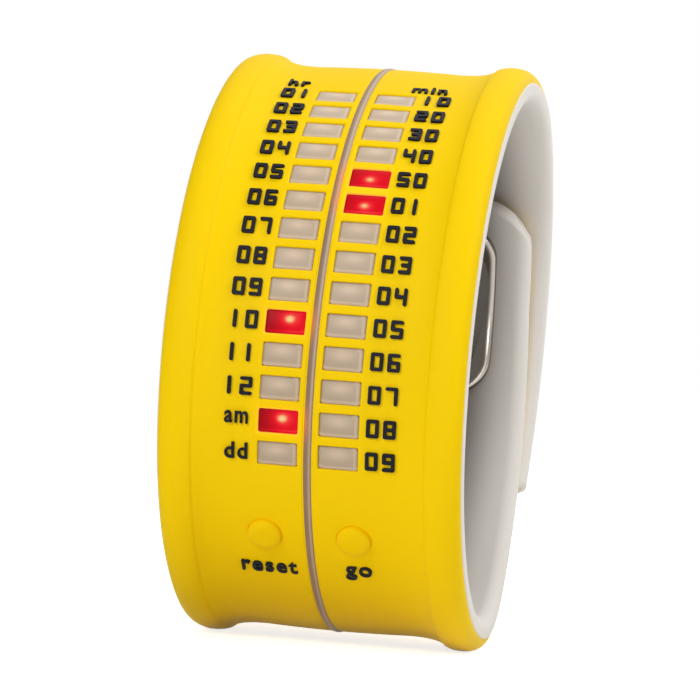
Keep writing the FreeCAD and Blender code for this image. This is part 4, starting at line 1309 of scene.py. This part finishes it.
class WATCH_OT_clasp(Operator):
    """Steel plate inside the lower strap and the studs on it"""

    bl_idname = "watch.clasp"
    bl_label = "Clasp"

    def execute(self, context):
        start, end = under(PLATE_UNDER - PLATE_HALF_LENGTH), under(PLATE_UNDER + PLATE_HALF_LENGTH)
        middle, half = (start + end) / 2, (PLATE_HALF_WIDTH, abs(end - start) / 2)
        steps = [(0, -3.1), (0, -3.62), (-0.05, -3.8), (-0.16, -3.93), (-0.34, -4.0)]
        stack = [with_height(rounded_loop((0, 0), half, PLATE_CORNER, 16, grow, 14), top) for grow, top in steps]
        stack += flat_rings(stack[-1][:, :2], 18, -4.0)
        plate = ringed("steel_plate", [[ring + [0, middle, 0] for ring in stack]], steel_material())
        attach(plate, "lower_strap")
        dress(plate, "clasp_steel", "clasp_plate")
        repaint(steel_material(), "clasp_studs")
        soften(0.12, "clasp_studs")
        return {"FINISHED"}


class WATCH_OT_battery_bay(Operator):
    """Cover over the cells with its screws, gasket and inserts"""

    bl_idname = "watch.battery_bay"
    bl_label = "Battery bay"

    def execute(self, context):
        repaint(simple("Brushed cover", (0.5, 0.5, 0.505), 0.34, 1.0, 900.0, 0.000006, 14.0, 0.12), "battery_cover")
        repaint(simple("Screw steel", (0.42, 0.42, 0.43), 0.3, 1.0, 3000.0, 0.000004), "cover_screws")
        repaint(simple("Insert brass", (0.72, 0.5, 0.2), 0.32, 1.0, 3000.0, 0.000004), "cover_inserts")
        repaint(simple("Gasket rubber", (0.02, 0.02, 0.022), 0.6), "battery_gasket")
        steel = simple("Cell steel", (0.62, 0.62, 0.62), 0.26, 1.0, 2400.0, 0.000003, 5.0)
        repaint(steel, "upper_cell", "lower_cell")
        repaint(simple("Contact bronze", (0.66, 0.5, 0.32), 0.3, 1.0), "negative_contacts", "positive_contact")
        soften(0.12, "battery_cover")
        soften(0.08, "cover_screws")
        return {"FINISHED"}


class WATCH_OT_module(Operator):
    """Finishes of the circuit inside the band"""

    bl_idname = "watch.module"
    bl_label = "Circuit module"

    def execute(self, context):
        repaint(simple("Board laminate", (0.01, 0.11, 0.045), 0.4, scale=2200.0, spread=0.3), "led_board")
        repaint(simple("LED body", (0.8, 0.78, 0.68), 0.3), "leds_hours", "leds_minutes")
        repaint(simple("Resistor ceramic", (0.03, 0.03, 0.035), 0.4), "led_resistors")
        repaint(simple("Chip epoxy", (0.018, 0.018, 0.02), 0.5), "controller_chip")
        repaint(simple("Crystal can", (0.6, 0.6, 0.58), 0.28, 1.0, stretch=6.0), "timing_crystal")
        repaint(simple("Capacitor ceramic", (0.3, 0.19, 0.1), 0.45), "capacitors")
        repaint(simple("Switch steel", (0.5, 0.5, 0.5), 0.35, 1.0, stretch=5.0), "reset_switch", "go_switch")
        repaint(simple("Plunger nylon", (0.03, 0.03, 0.03), 0.45), "reset_plunger", "go_plunger")
        repaint(simple("Carrier nylon", (0.035, 0.035, 0.04), 0.5, spread=0.25), "board_carrier")
        return {"FINISHED"}


LIGHTS = (
    ("key", (-0.3, -0.62, 0.4), 0.36),
    ("fill", (0.1, -0.72, 0.05), 0.16),
    ("top", (0.05, 0.12, 0.62), 0.6),
    ("side", (0.5, -0.05, 0.45), 0.4),
    ("back", (0.35, 0.6, 0.3), 0.5),
)


def area_light(name, place, size, power):
    data = bpy.data.lights.new(name, "AREA")
    data.shape = "RECTANGLE"
    data.size = data.size_y = size
    data.energy = power
    lamp = bpy.data.objects.new(name, data)
    bpy.context.scene.collection.objects.link(lamp)
    lamp.location = place
    lamp.rotation_euler = (-Vector(place)).to_track_quat("-Z", "Y").to_euler()


class WATCH_OT_stage(Operator):
    """Floor, lights, world and camera"""

    bl_idname = "watch.stage"
    bl_label = "Stage"

    def execute(self, context):
        scene = context.scene
        settings = scene.watch_stage
        scene.view_settings.view_transform = "Standard"
        self.floor(settings)
        self.world(scene, settings)
        for name, place, size in LIGHTS:
            area_light(name, place, size, getattr(settings, name))
        self.camera(scene, settings)
        return {"FINISHED"}

    @staticmethod
    def floor(settings):
        paint = Paint("Pale floor", 60.0, 0.0)
        place = paint.add("ShaderNodeNewGeometry").outputs["Position"]
        away = paint.add("ShaderNodeVectorMath", {0: place}, operation="LENGTH").outputs["Value"]
        reach = {"Value": away, "From Min": 0.07, "From Max": 0.3, "To Min": 0.76, "To Max": 1.0}
        fade = paint.add("ShaderNodeMapRange", reach, interpolation_type="SMOOTHSTEP").outputs["Result"]
        base = paint.varied(settings.floor_color, 0.02)
        white = paint.math("MULTIPLY", paint.shown_white(), fade)
        material = paint.surface(base, 0.9, 0.0, Emission_Color=(1.0, 1.0, 1.0), Emission_Strength=white)
        corners = [(x, y, CAD_BOX[0][2]) for x, y in ((-6, -6), (6, -6), (6, 6), (-6, 6))]
        floor = new_object("floor", corners, [(0, 1, 2, 3)], material)

    @staticmethod
    def world(scene, settings):
        world = bpy.data.worlds.new("Studio")
        scene.world = world
        world.use_nodes = True
        nodes = Nodes(world.node_tree)
        level = nodes.math("MULTIPLY_ADD", nodes.shown_white(), 1 - settings.ambient, settings.ambient)
        back = nodes.add("ShaderNodeBackground", {"Color": (1, 1, 1), "Strength": level})
        nodes.add("ShaderNodeOutputWorld", {"Surface": back.outputs[0]})

    @staticmethod
    def camera(scene, settings):
        turn, roll = math.radians(CAMERA_TURN), math.radians(CAMERA_ROLL)
        back = Vector((math.sin(turn), -math.cos(turn), 0))
        right = Vector((math.cos(turn), math.sin(turn), 0))
        up = Vector((0, 0, 1))
        across = right * math.cos(roll) + up * math.sin(roll)
        upright = up * math.cos(roll) - right * math.sin(roll)
        data = bpy.data.cameras.new("camera")
        data.sensor_fit = "HORIZONTAL"
        data.sensor_width = SENSOR_WIDTH
        data.lens = SENSOR_WIDTH * PIXELS_PER_MM * settings.distance / MM / PICTURE_WIDTH
        data.clip_start, data.clip_end = 0.01, 30
        camera = bpy.data.objects.new("camera", data)
        place = Vector(CAMERA_AIM) + back * settings.distance
        turned = Matrix((across, upright, back)).transposed().to_4x4()
        camera.matrix_world = Matrix.Translation(place) @ turned
        scene.collection.objects.link(camera)
        scene.camera = camera


OPERATORS = (
    WATCH_OT_skin,
    WATCH_OT_liner,
    WATCH_OT_display,
    WATCH_OT_numerals,
    WATCH_OT_buttons,
    WATCH_OT_clasp,
    WATCH_OT_battery_bay,
    WATCH_OT_module,
    WATCH_OT_stage,
)


class WATCH_PT_panel(Panel):
    """Lists the settings and the steps that dress the frame"""

    bl_label = "LED ladder watch"
    bl_idname = "WATCH_PT_panel"
    bl_space_type = "VIEW_3D"
    bl_region_type = "UI"
    bl_category = "Watch"

    def draw(self, context):
        for settings in (context.scene.watch_look, context.scene.watch_stage):
            box = self.layout.box()
            for name in settings.__annotations__:
                box.prop(settings, name)
        for operator in OPERATORS:
            self.layout.operator(operator.bl_idname)


CLASSES = (WatchLook, WatchStage, *OPERATORS, WATCH_PT_panel)


def register():
    for entry in CLASSES:
        bpy.utils.register_class(entry)
    bpy.types.Scene.watch_look = PointerProperty(type=WatchLook)
    bpy.types.Scene.watch_stage = PointerProperty(type=WatchStage)


def unregister():
    del bpy.types.Scene.watch_look
    del bpy.types.Scene.watch_stage
    for entry in reversed(CLASSES):
        bpy.utils.unregister_class(entry)


def main():
    register()
    for operator in OPERATORS:
        getattr(bpy.ops.watch, operator.bl_idname.split(".")[1])()


if __name__ == "__main__":
    main()
